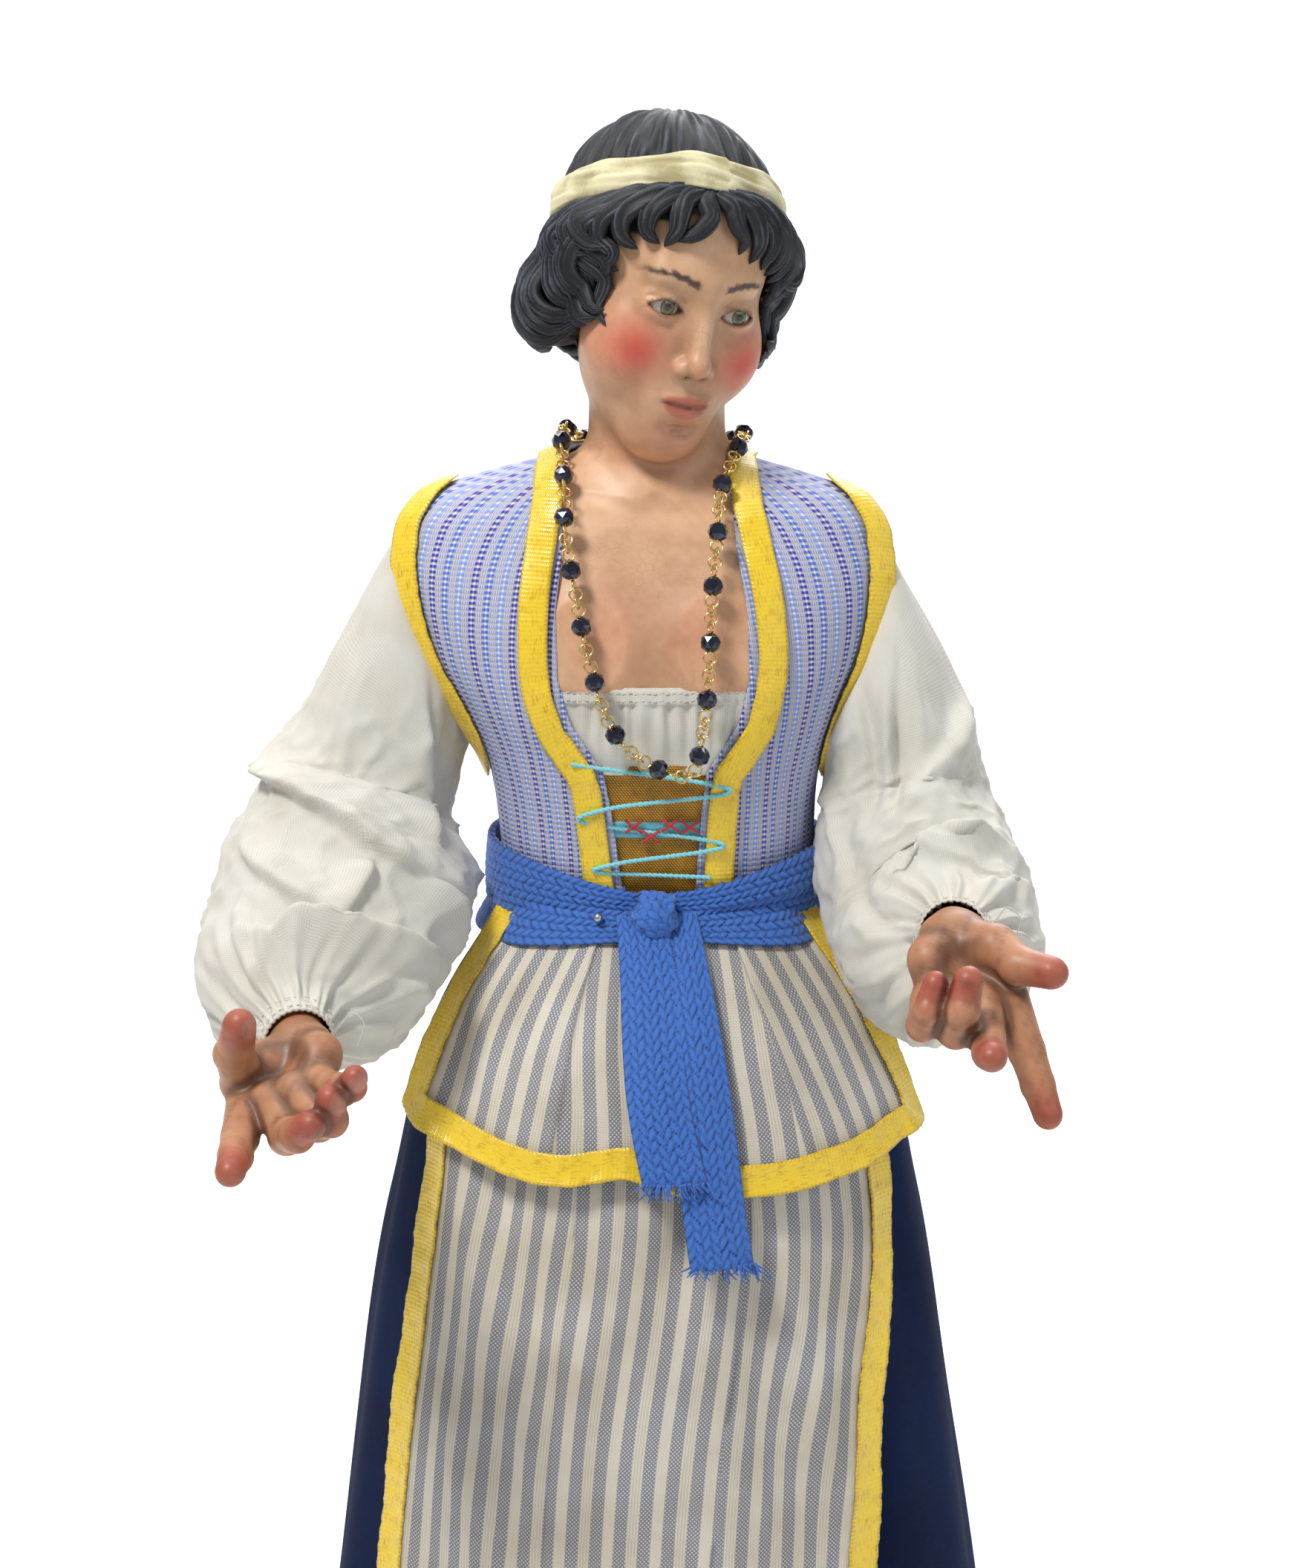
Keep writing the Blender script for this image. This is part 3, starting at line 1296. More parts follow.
    def edging(self) -> Thing:
        """Makes the ribbon down one side, along the hem and up the other side."""
        width = self.ribbon_width
        outer, inner = [], []
        for side, way in ((0.0, 1), (1.0, -1)):
            low = self.hem(np.array(side))
            height = np.linspace(WAIST + 0.5, low, int((WAIST - low) / 1.2))
            rows = [self.place(side, height, self.ribbon_lift)]
            rows.append(self.place(side, np.maximum(height, low + width), self.ribbon_lift, way * width))
            outer.append(rows[0][::way])
            inner.append(rows[1][::way])
        s = np.linspace(0, 1, 150)
        reach = width / self.width(np.array([self.hem_left]))[0]
        within = np.clip(s, reach, 1 - reach)
        outer.insert(1, self.place(s, self.hem(s), self.ribbon_lift))
        inner.insert(1, self.place(within, self.hem(within) + width, self.ribbon_lift))
        strip = Ribbon(width).between(np.vstack(outer), np.vstack(inner), seed=len(self.name))
        piece = strip.piece(f"{self.name}_ribbon_satin", Finishes.satin, "yellow_ribbon")
        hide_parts(f"{self.name}_ribbon")
        return piece


@dataclass(frozen=True)
class Ribbon:
    """Satin ribbon sewn flat along an edge."""

    width: float = 6.0
    thickness: float = 0.4
    crown: float = 0.28
    waviness: float = 0.16
    jag: float = 0.14  # how far each stitch draws its edges
    stitch: float = 0.9
    columns: int = 10

    def between(self, outer: Array, inner: Array, seed: int, loop: bool = False) -> Shape:
        """The ribbon between two edges.

        Args:
            outer: points of the edge on the right, seen from outside and looking along it.
            inner: points of the edge on the left.
            seed: which waves its edges have.
            loop: True for a ring.

        Returns:
            The ribbon.
        """
        across = unit(inner - outer)
        out = unit(np.cross(across, ahead_of(outer, loop) + ahead_of(inner, loop)))
        run = run_of((outer + inner) / 2)
        t = np.linspace(0, 1, self.columns)[None, :, None]
        rise = self.crown * (1 - (2 * t - 1) ** 2)
        for number, longest, share in ((seed, 17, 1 - t), (seed + 50, 13, t)):
            wave = 0.0 if loop else waver(run[:, None], number, longest, 6)[:, None, None]
            rise = rise + self.waviness * (wave + 1) * share
        ripple = waver(stacked(run, 0 * run), seed + 9, 7, 5)
        rise = rise + self.waviness / 2 * (ripple + 1)[:, None, None]
        grid = outer[:, None] + (inner - outer)[:, None] * t + out[:, None] * (self.thickness + rise)
        jag = across * (self.jag * np.sin(run * FULL_TURN / self.stitch))[:, None]
        grid[:, 0] += jag
        grid[:, -1] += jag
        lay = stacked(t[..., 0] * self.width, run[:, None])
        normals = np.broadcast_to(out[:, None], grid.shape)
        if loop:
            grid, lay, normals = (np.swapaxes(part, 0, 1) for part in (grid, lay, normals))
        return cloth(grid, self.thickness, lay, loop, normals)


LONG_APRON = Apron(
    name="apron_long",
    edges=((34, -58, 41), (123, -52.5, 43), (171, -45.5, 45.5), (206, -38.5, 38), (WAIST, -25, 24.4)),
    hem_left=42, hem_right=42, hem_sag=0, lift=LAYERS.long_apron, ribbon_lift=LAYERS.long_ribbon,
    flat=(0.12, 0.19), cut=0.0185, rows=110, pleats=((0.33, 0.36), (0.7, 0.66)), fullness=0.95,
)
SHORT_APRON = Apron(
    name="apron_short", edges=((170, -48.5, 51), (191, -45, 47), (206, -40.5, 41), (WAIST, -25.8, 25.8)),
    hem_left=189.5, hem_right=185.5, hem_sag=9, lift=LAYERS.short_apron, ribbon_lift=LAYERS.short_ribbon,
    flat=(0.12, 0.055), cut=0.0056, rows=56, flare=1.8, fullness=1.1,
)


def armhole(side: int, angle: Array) -> Array:
    """Points round an armhole, on the side -1 or 1, from its foot at angle 0 up its front."""
    foot, top = 258.5, 311.5
    height = foot + (top - foot) * (1 - np.cos(angle)) / 2
    row = through(TORSO.stations, height)
    x = row[:, 0] * (1 - 0.02 * np.abs(np.sin(angle)))
    y = row[:, 1] * np.clip(1 - (x / row[:, 0]) ** TORSO.power, 0, None) ** (1 / TORSO.power)
    at = np.column_stack([row[:, 3] + side * x, row[:, 2] - np.sign(np.sin(angle)) * y, height + FIGURE_Z])
    return TORSO.settle(at)[0]


@dataclass(frozen=True)
class Bodice:
    """The close bodice of dashed cotton, open down the front, with its ribbons, panels and lacing."""

    thickness: float = 0.5
    overhang: float = 1.3  # how far its edge shows inside the ribbon
    rows: int = 86
    columns: int = 230
    chemise_top: float = WAIST + 44.5
    stomacher_top: float = WAIST + 28.7
    band_height: float = 3.4

    def edge(self, side: int, height: Array) -> Array:
        """The x of the opening's edge, on the side -1 or 1."""
        column = 1 if side < 0 else 2
        return np.interp(height, OPENING[:, 0], OPENING[:, column])

    def heights(self) -> Array:
        """Heights up the bodice, close together over the shoulders."""
        low = np.linspace(WAIST - 8, SHOULDERS, self.rows - 34)
        high = SHOULDERS + (TORSO_TOP - SHOULDERS) * np.linspace(0, 1, 35)[1:] ** 0.8
        return np.concatenate([low, high])

    def build(self) -> list[Thing]:
        """Makes the bodice and everything on it.

        Returns:
            Its pieces.
        """
        made = [self.shell(), self.chemise(), *self.stomacher(), self.lacing(), self.neck_ribbon()]
        made += [self.armhole_ribbon(side) for side in (-1, 1)]
        return made

    def shell(self) -> Thing:
        """Makes the bodice's cloth."""
        height = self.heights()[:, None]
        inset = self.overhang * step(height, 312, 300)
        right = TORSO.angle_of(self.edge(1, height) - inset, height)
        left = TORSO.angle_of(self.edge(-1, height) + inset, height) + FULL_TURN
        t = np.linspace(0, 1, self.columns)[None, :]
        angle = right + (left - right) * t
        places = stacked(np.cos(angle) * 40, np.sin(angle) * 40, height)
        crease = 0.28 * waver(places * [0.5, 0.5, 1.6], 12, 26, 6)
        ease = 0.5 * waver(places, 40, 60, 4)
        out = 0.25 + (crease + ease) * step(height, WAIST, WAIST + 12) * 0.5
        grid = TORSO.point(angle, height, out)
        lay = stacked(angle * 41, height)
        piece = cloth(grid, self.thickness, lay).piece("bodice_cloth", Finishes.dashed, "bodice_cloth")
        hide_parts("bodice")
        return piece

    def panel(
        self, low: float, high: float, sunk: Field, rows: int, columns: int, thickness: float,
    ) -> Shape:
        """A panel behind the opening.

        Args:
            low: its lower edge's height.
            high: its upper edge's height.
            sunk: how far out of the bodice's form it lies, for (x, height) points.
            rows: rows of points.
            columns: points in a row.
            thickness: its cloth's thickness.

        Returns:
            The panel's sheet.
        """
        height = np.linspace(low, high, rows)[:, None]
        left, right = self.edge(-1, height) - 1.5, self.edge(1, height) + 1.5
        x = left + (right - left) * np.linspace(0, 1, columns)[None, :]
        lay = stacked(x, height)
        return cloth(TORSO.front(x, height, sunk(lay)), thickness, lay)

    def chemise(self) -> Thing:
        """Makes the blouse's front, gathered into a stitched band."""
        top, band = self.chemise_top, self.band_height

        def form(p: Array) -> Array:
            """How far out the gathered front lies, for (x, height) points."""
            x, height = p[..., 0], p[..., 1]
            under = step(height, top - band - 0.4, top - band + 0.4)
            phase = 1.9 * x + 1.6 * waver(stacked(x, height * 0.2), 4, 14, 4)
            gathers = 0.42 * np.sin(phase) * step(height, top - band - 16, top - band - 1)
            loose = 0.35 * waver(stacked(x * 1.2, height * 0.5), 14, 15, 5)
            turned = 0.35 * step(height, top - 0.7, top)
            return -0.9 + (1 - under) * (gathers + loose) + under * (0.45 + 0.1 * np.sin(phase)) - turned

        blouse = self.panel(self.stomacher_top - 2, top, form, 70, 104, 0.5)
        stitches = []
        for row in (0.8, 2.3):
            for x in np.arange(-19.5, 19, 1.25):
                height = top - band + row + 0.1 * math.sin(3 * x)
                ends = np.array([[x, height], [x + 0.75, height + 0.1]])
                stitches.append(tube(smooth_line(TORSO.front(*ends.T, -0.36), 3), 0.12, 5))
        piece = (blouse + gather(stitches)).piece("blouse_front_cloth", Finishes.batiste, "white_cotton")
        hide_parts("blouse_front")
        return piece

    def stomacher(self) -> list[Thing]:
        """Makes the stomacher of gold-thread twill, its braid and the crosses on it."""
        top = self.stomacher_top
        plate = self.panel(WAIST - 6, top, lambda p: -0.85 + 0.12 * waver(p, 3, 20, 4), 40, 36, 0.6)
        piece = plate.piece("stomacher_cloth", Finishes.gold_twill, "gold_brown_cloth")
        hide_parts("stomacher")
        braid = self.panel(244.4, 247.6, lambda p: -0.35 + 0.12 * np.cos(p[..., 1] * 4), 16, 90, 0.6)
        edging = braid.raised(0.5).piece("stomacher_braid", Finishes.silk_cord, "blue_braid")
        crosses = []
        for x, height in ((-4.6, 247.0), (-1.2, 244.9), (2.6, 247.3), (6.6, 246.8)):
            for way in (-1, 1):
                ends = np.array([[x - 1.7, height - 1.3 * way], [x, height], [x + 1.7, height + 1.3 * way]])
                at = TORSO.front(*ends.T, 0.35)
                at[1, 1] -= 0.3
                crosses.append(tube(smooth_line(at, 6), 0.32, 6))
        marks = gather(crosses).raised(0.5).piece("stomacher_crosses", Finishes.red_floss, "blue_braid")
        return [piece, edging, marks]

    def lacing(self) -> Thing:
        """Makes the twisted cord that draws the opening together."""
        crossings = np.array([
            (-16.5, 260.3), (14.2, 254.7), (-9.9, 251.2), (-15.2, 248.7), (13, 243.3), (-7.6, 239.7),
            (-12.4, 238), (10.4, 236.6),
        ])
        at, out = TORSO.settle(TORSO.front(*crossings.T))
        line = smooth_line(at + out * 2.0, 400)
        piece = twisted(line, 0.5, 2.2).piece("lacing_cord", Finishes.silk_cord, "blue_cord")
        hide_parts("lacing")
        return piece

    def laid(
        self, line: Array, seed: int, flare: Array | float = 0, left: bool = False, loop: bool = False,
    ) -> Shape:
        """A ribbon that reaches its width to one side of a line on the bodice.

        Args:
            line: points on the bodice.
            seed: which waves its edges have.
            flare: how far its edge on the line is pulled off, along x, y and z.
            left: True to reach to the left.
            loop: True for a ring.

        Returns:
            The ribbon.
        """
        at, out = TORSO.settle(line)
        across = unit(np.cross(out, unit(ahead_of(at, loop)))) * (-1 if left else 1)
        ribbon = Ribbon()
        far, way = TORSO.settle(at + across * ribbon.width)
        lift = 0.72
        edges = [at + out * lift + flare, far + way * lift]
        if not left:
            edges.reverse()
        return ribbon.between(edges[0], edges[1], seed, loop)

    def neck_ribbon(self) -> Thing:
        """Makes the ribbon down both front edges and round the neck."""
        heights = np.array([WAIST - 4, 240, 250, 258, 262, 268, 277, 290, 304, 311])
        sides = {}
        for side in (-1, 1):
            front = TORSO.front(self.edge(side, heights), heights)
            over = np.array(
                [[side * 16 - 2, -4, 319 + FIGURE_Z], [side * 15.5 - 1.5, 6, 319.5 + FIGURE_Z]], float,
            )
            sides[side] = np.vstack([front, TORSO.settle(over)[0]])
        back = TORSO.settle(np.array([[0, 15, 317.5 + FIGURE_Z]]))[0]
        line = smooth_line(np.vstack([sides[-1], back, sides[1][::-1]]), 300)
        piece = self.laid(line, 3).piece("bodice_neck_ribbon_satin", Finishes.satin, "yellow_ribbon")
        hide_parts("bodice_neck_ribbon")
        return piece

    def armhole_ribbon(self, side: int) -> Thing:
        """Makes the ribbon round an armhole, on the side -1 or 1."""
        angle = turns(120)
        front = np.clip(np.sin(angle), 0, 1)[:, None] ** 0.7
        name = "right" if side < 0 else "left"
        flare = front * np.array([side * 2.6, -1.2, 0])
        shape = self.laid(armhole(side, angle), 7 + side, flare, left=side < 0, loop=True)
        piece = shape.piece(f"armhole_ribbon_{name}_satin", Finishes.satin, "yellow_ribbon")
        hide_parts(f"bodice_armhole_ribbon_{name}")
        return piece


def twisted(line: Array, radius: float, pitch: float) -> Shape:
    """A cord of two strands twisted round each other.

    Args:
        line: its middle.
        radius: the whole cord's radius.
        pitch: millimetres for one turn.

    Returns:
        The cord, with a rise value that is low between its strands.
    """
    ahead = unit(ahead_of(line))
    side = unit(np.cross(ahead, [0.2, 0.9, 0.35]))
    other = np.cross(ahead, side)
    own = radius * 0.62
    parts = []
    for start in (0.0, math.pi):
        phase = run_of(line)[:, None] * FULL_TURN / pitch + start
        path = line + (radius - own) * (side * np.cos(phase) + other * np.sin(phase))
        strand = tube(path, own, 6)
        spread = np.linalg.norm(strand.points - line.repeat(6, 0), axis=1)
        strand.values["rise"] = np.clip(spread / radius, 0, 1)
        parts.append(strand)
    return gather(parts)


@dataclass(frozen=True)
class Sash:
    """The waistband of plaited wool, with its knot, its two ends and the pin."""

    thickness: float = 1.3
    tail_width: float = 10.5
    strand: float = 2.2  # mm from one strand of a column to the next
    tails: tuple[tuple[float, float, float, float, int], ...] = (
        (2.6, WAIST - 0.7, 11.4, WAIST - 64.2, 0), (-2.4, WAIST - 0.7, 2.2, WAIST - 48.2, 1),
    )

    def plait(self, run: Array, across: Array, columns: int) -> tuple[Array, Array]:
        """A flat plait's relief: columns of leaf-shaped strands, slanted to one side and the other.

        Args:
            run: millimetres along it.
            across: from -1 to 1 across it.
            columns: how many columns of strands it has.

        Returns:
            Its height in millimetres, and the share of that height from 0 to 1.
        """
        run, across = np.broadcast_arrays(run, across)
        place = np.clip((across + 1) / 2 * columns, 0, columns - 0.001)
        number = np.floor(place)
        u = 2 * (place - number) - 1
        way = 1 - 2 * (number % 2)
        phase = run / self.strand + 0.42 * u * way + 0.5 * (number % 2)
        f = 2 * (phase - np.floor(phase)) - 1
        leaf = np.sqrt(np.clip(1 - f**2, 0, 1)) * np.sqrt(np.clip(1 - 0.7 * u**2, 0, 1))
        share = np.clip(leaf + 0.07 * np.sin(run * 9 + u * 5), 0, 1)
        return share, share**1.6

    def ring(self, angle: Array, height: Array, out: Array) -> Array:
        """Points of the band, out of what it lies on."""
        aprons = step(np.cos(angle), 0.35, 0.7)  # they end before the sides, where it lies on the skirt
        lift = LAYERS.sash_beside + (LAYERS.sash - LAYERS.sash_beside) * aprons
        below = np.where(height < WAIST, SKIRT.radius(angle, np.minimum(height, WAIST)) + lift, 0.0)
        above = TORSO.radius(angle, height) + LAYERS.bodice_ribbon + LAYERS.ribbon + 0.6
        r = np.maximum(above, below) + out
        middle = through(TORSO.stations, height)[..., 2]
        return stacked(r * np.sin(angle), middle - r * np.cos(angle), height + FIGURE_Z)

    def band(self) -> Shape:
        """The band round the waist."""
        angle = turns(480)[None, :]
        across = np.linspace(-1, 1, 41)[:, None]
        front = np.clip(np.cos(angle), 0, 1) ** 3
        low = WAIST - 9.7 + 3.5 * front
        high = WAIST + 9.8 - 7.1 * front
        height = (low + high) / 2 + across * (high - low) / 2
        run = angle * 37
        relief, share = self.plait(run, across, 10)
        body = np.cos(across * math.pi / 2 * 0.9)
        turned = (angle + math.pi) % FULL_TURN - math.pi
        second = step(turned, 0.1, 0.5) * step(turned, 1.7, 1.4)  # a second turn lies over it at the left
        ledge = second * step(across, 0.02 + 0.1 * turned, 0.16 + 0.1 * turned)
        grid = self.ring(angle, height, 0.3 + 0.8 * body + 0.9 * ledge + relief * (0.3 + 0.5 * body))
        lay = stacked(across * 8, run)
        return cloth(grid, 1.4, lay, loop=True, rise=share)

    def tail(self, index: int) -> Shape:
        """One hanging end, with its frayed threads."""
        x0, z0, x1, z1, rank = self.tails[index]
        t = np.linspace(0, 1, 130)[:, None]
        across = np.linspace(-1, 1, 30)[None, :]
        height = z0 + (z1 - z0) * t + 0 * across
        swing = np.sin(t * 5 + index * 2) * t
        half = self.tail_width / 2 * (1 - 0.4 * np.exp(-t * 4))
        x = x0 + (x1 - x0) * t + across * half + swing
        run = t * (z0 - z1)
        relief, share = self.plait(run + 5 * index, across, 8)
        edge = np.cos(across * math.pi / 2 * 0.92)
        flare = np.minimum(1.8 * below_hips(height) ** 2, 2.5)
        angle = SKIRT.angle_of(x, height)
        lift = LAYERS.sash + flare + 1.2 * rank * t + drape(angle, height)
        lift = lift + (1.3 + 2.4 * rank) * np.exp(-t * 7)
        grid = SKIRT.point(angle, height, lift + self.thickness * (0.4 + 0.35 * edge) + relief * 0.55 * edge)
        lay = stacked(across * half, run)
        shape = cloth(grid[::-1], 0.9, lay[::-1], rise=share[::-1])
        rng = np.random.default_rng(60 + index)
        threads = []
        for _ in range(46):
            place = rng.uniform(-0.98, 0.98)
            start = np.array([x[-1, 0] + (place + 1) * half[-1, 0], z1 + 0.6])
            length = rng.uniform(1.0, 3.6)
            bend = rng.normal(0, 0.8)
            steps = np.linspace(0, 1, 5)
            xs = start[0] + place * 1.2 * steps + bend * steps**2
            zs = start[1] - length * steps
            up = lift[-1, 0] + rng.uniform(0.2, 1.3) + rng.normal(0, 0.5) * steps
            line = smooth_line(SKIRT.front(xs, zs, up), 9)
            threads.append(tube(line, np.linspace(0.26, 0.12, 9), 5).raised(rng.uniform(0.3, 0.9)))
        return shape + gather(threads)

    def knot(self) -> Shape:
        """The knot, of turns of the same plait."""
        parts = []
        middle = self.ring(np.array(0.0), np.array(WAIST - 1.2), 3.4)
        for k, (tilt, reach, size) in enumerate(((0.15, 5.6, 3.4), (1.2, 4.6, 3.0), (-0.7, 4.4, 2.7))):
            t = turns(90)[None, :]
            across = np.linspace(-1, 1, 14)[:, None]
            run = t * 3.6
            relief, share = self.plait(run, across, 4)
            radial = 2.5 + 0.5 * relief - 0.3 * across**2
            spot = stacked(
                across * size, -(radial * 0.9) * np.cos(t), reach * 0.8 * radial / 2.5 * np.sin(t) * 0.9,
            )
            turn = np.array(Matrix.Rotation(tilt, 3, "Y"))
            grid = spot @ turn.T + middle + [-0.5, -0.5 * k, 0]
            parts.append(cloth(grid, 0.6, stacked(across * 3, run), loop=True, rise=share))
        return gather(parts)

    def pin(self) -> Thing:
        """Makes the pin's round head."""
        x, height = np.array(-9.5), np.array(WAIST - 1.7)
        middle = self.ring(TORSO.angle_of(x, height), height, 3.3)
        angle = np.linspace(0, math.pi, 14)
        line = middle + stacked(0.0, -0.95 * np.cos(angle[::-1]), 0.0)
        head = tube(
            line, 0.98 * np.sin(np.clip(angle, 0.06, math.pi - 0.06)), 18, side=np.array([1.0, 0, 0]),
        )
        piece = head.piece("sash_pin_head", Finishes.steel, "steel")
        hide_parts("sash_pin")
        return piece

    def build(self) -> list[Thing]:
        """Makes the sash and its pin.

        Returns:
            Both pieces.
        """
        whole = self.band() + self.knot() + self.tail(0) + self.tail(1)
        piece = whole.piece("sash_plait", Finishes.wool, "blue_braid")
        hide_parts("sash")
        return [piece, self.pin()]


# Sleeves and hands.


def washed(tone: Array, colour: str, share: Array) -> Array:
    """Paint with another colour over it, by a share from 0 to 1."""
    return tone + (rgb(colour) - tone) * np.clip(share, 0, 1)[:, None]


class Side(Enum):
    """Her right arm, on the viewer's left, or her left arm."""

    RIGHT = "right"
    LEFT = "left"


@dataclass(frozen=True)
class Arm:
    """Where an arm goes and how its hand is held."""

    side: Side
    sleeve: Array  # x, y, z, radius up, radius sideways
    wrist: Triple
    heading: Triple
    palm: Triple
    thumb_side: int
    thumb: Array  # across, forward and up from the heel
    fingers: tuple[tuple[float, float, Triple, float], ...]  # spread, sweep, bends, length

    def out_of_cuff(self) -> Array:
        """The way out of the cuff."""
        return unit(np.subtract(self.wrist, self.sleeve[-1, :3]))


ARMS = {
    Side.RIGHT: Arm(
        Side.RIGHT,
        np.array([
            [-41, 0, 289, 22, 16], [-49.5, 0, 280, 20, 16], [-56.5, 0, 263, 17.5, 16.5],
            [-63, -2, 247, 20, 19.5], [-66.5, -15, 233, 22.5, 23.5], [-67.5, -33, 223, 21, 23],
            [-70, -48, 217, 17, 19], [-70, -56.5, 215, 11, 12],
        ]),
        wrist=(-68, -64, 214.5), heading=(-0.1, -0.93, -0.34), palm=(-0.36, -0.29, 0.885), thumb_side=-1,
        thumb=np.array([[2, 3, 0], [7.9, 10.7, 2.2], [6, 12, 9.5], [1.5, 13.4, 16]]),
        fingers=(
            (0.13, 0, (0, 0.05, 0.05), 20), (0.5, 0.3, (-0.2, 0.6, 0.1), 22),
            (0.6, 0.3, (-0.2, 0.6, 0.65), 21), (0.85, 0, (0.2, 0.25, 0.25), 18),
        ),
    ),
    Side.LEFT: Arm(
        Side.LEFT,
        np.array([
            [35.5, 0, 285, 20, 14], [42.5, -1, 276, 18.5, 15.5], [48.5, -3.5, 262, 16.5, 16.5],
            [51.5, -6, 247, 18.5, 18.5], [53.5, -17, 233, 21.5, 21], [56, -31, 225.5, 21, 21],
            [56.5, -45, 226.5, 17, 17.5], [57, -53, 230.5, 11, 11.5],
        ]),
        wrist=(56, -59, 233), heading=(0.13, -0.73, -0.67), palm=(0.09, -0.66, 0.73), thumb_side=1,
        thumb=np.array([[2, 3, 0], [6, 6, 4], [8.5, 12, 6.7], [13, 16, 10]]),
        fingers=(
            (-0.19, 0, (-0.3, 0, 0), 22), (0.22, 0.05, (0.35, 0.3, 0.2), 22),
            (0.3, 0, (0.45, 1.15, 0.85), 21), (0.42, 0, (0.4, 1.2, 0.85), 18),
        ),
    ),
}


@dataclass(frozen=True)
class Fold:
    """A fold of cloth along a sleeve, through (share along, angle round) places."""

    knots: tuple[tuple[float, float], ...]
    width: float  # mm, of its gentle side
    depth: float  # mm
    steep: float = 0.32  # the other side's width, as a share of the gentle one's

    def rise(self, t: Array, angle: Array, size: float, length: float) -> tuple[Array, Array]:
        """How far it lifts the cloth, and how far it pulls it over the steep side.

        Args:
            t: shares along the sleeve.
            angle: angles round it.
            size: the sleeve's mean radius, in millimetres.
            length: its length, in millimetres.

        Returns:
            The lift in millimetres, and the pull along the sleeve and round it.
        """
        knots = np.array(self.knots)
        line = smooth_line(np.column_stack([knots * [length, size], 0 * knots[:, 0]]), 14)[:, :2]
        centre = knots[:, 1].mean()
        round_ = (angle - centre + math.pi) % FULL_TURN - math.pi + centre
        x, y = paired(t * length, round_ * size)
        best, off, run = np.full(x.shape, 1e9), np.zeros(x.shape), np.zeros(x.shape)
        side = np.zeros((*x.shape, 2))
        total = 0.0
        for start, end in zip(line[:-1], line[1:]):
            reach = np.linalg.norm(end - start)
            way = (end - start) / reach
            s = np.clip((x - start[0]) * way[0] + (y - start[1]) * way[1], 0, reach)
            dx, dy = x - start[0] - s * way[0], y - start[1] - s * way[1]
            away = np.hypot(dx, dy)
            closer = away < best
            off = np.where(closer, np.copysign(away, dx * way[1] - dy * way[0]), off)
            side = np.where(closer[..., None], [-way[1], way[0]], side)
            run = np.where(closer, total + s, run)
            best = np.minimum(away, best)
            total += reach
        ends = 0.25 + 0.75 * step(run, 0, 0.3 * total) * step(run, total, 0.7 * total)
        wide = np.where(off > 0, self.width, self.width * self.steep)
        lift = self.depth * ends * np.exp(-((off / wide) ** 2))
        pull = 0.55 * np.clip(lift, 0, None) * (1 - self.steep)
        return lift, side * pull[..., None]


FOLDS = {
    Side.RIGHT: (
        Fold(((0.42, 0.1), (0.57, 0.0), (0.72, 0.1)), 13, 6.0, 1.0),
        Fold(
            (
                (0.35, 3.5), (0.385, 2.72), (0.479, 1.95), (0.562, 1.54), (0.651, 1.08), (0.657, 0.7),
                (0.621, 0.28),
            ),
            8, 5.2, 0.2,
        ),
        Fold(((0.598, 0.59), (0.325, 0.84), (0.249, 1.01), (0.172, 1.26), (0.107, 1.4)), 6, 3.1, 0.22),
        Fold(((0.107, 1.29), (0.142, 0.98), (0.213, 0.73), (0.278, 0.7)), 1.8, -1.6, 1.0),
        Fold(((0.544, 6.18), (0.462, 6.35), (0.331, 6.66)), 3, 2.1, 0.6),
        Fold(((0.574, 2.3), (0.698, 2.06), (0.787, 1.61), (0.822, 1.12)), 4.5, 3.5, 0.3),
        Fold(((0.811, 1.12), (0.74, 1.12), (0.669, 1.08)), 4, 3.0, 0.3),
        Fold(
            ((0.716, 6.21), (0.787, 6.8), (0.834, 7.29), (0.84, 7.71), (0.87, 8.1), (0.852, 8.41)), 5, 3.9,
            0.35,
        ),
        Fold(((0.71, 6.11), (0.669, 6.38), (0.669, 6.94)), 4, 2.8, 0.3),
        Fold(((0.166, 3.0), (0.172, 2.27), (0.195, 2.1)), 2.4, -1.4, 0.7),
        Fold(((0.941, 2.37), (0.923, 2.16), (0.888, 1.88)), 2.4, 1.8, 0.5),
        Fold(((0.763, 6.11), (0.87, 6.59), (0.941, 6.59)), 2.6, 1.9, 0.5),
    ),
    Side.LEFT: (
        Fold(((0.16, 1.26), (0.231, 1.54), (0.325, 1.64), (0.533, 1.82)), 1.5, -1.9, 0.8),
        Fold(((0.083, 1.85), (0.213, 1.88), (0.314, 1.95), (0.538, 2.13)), 1.8, -1.6, 0.8),
        Fold(((0.154, 1.5), (0.225, 1.68), (0.32, 1.78), (0.544, 1.95)), 1.4, 1.2, 0.8),
        Fold(((0.195, 0.21), (0.231, 0.24), (0.29, 0.84), (0.343, 1.4), (0.568, 1.78)), 7, 3.0, 0.35),
        Fold(((0.645, 0.63), (0.645, 1.01), (0.74, 1.5), (0.846, 1.88), (0.846, 2.23)), 4.5, 3.9, 0.3),
        Fold(((0.757, 0.52), (0.923, 0.98), (0.941, 1.26)), 3, 2.3, 0.5),
        Fold(((0.947, 1.95), (0.941, 2.51), (0.941, 2.9)), 2.4, 1.8, 0.6),
        Fold(((0.361, 2.55), (0.604, 2.44), (0.905, 2.93), (0.923, 3.56)), 3, -2.1, 0.6),
        Fold(((0.249, 3.07), (0.367, 2.62), (0.586, 2.51)), 3, 2.1, 0.5),
        Fold(((0.846, 1.29), (0.941, 1.05), (0.947, 0.31)), 3, 2.4, 0.5),
    ),
}


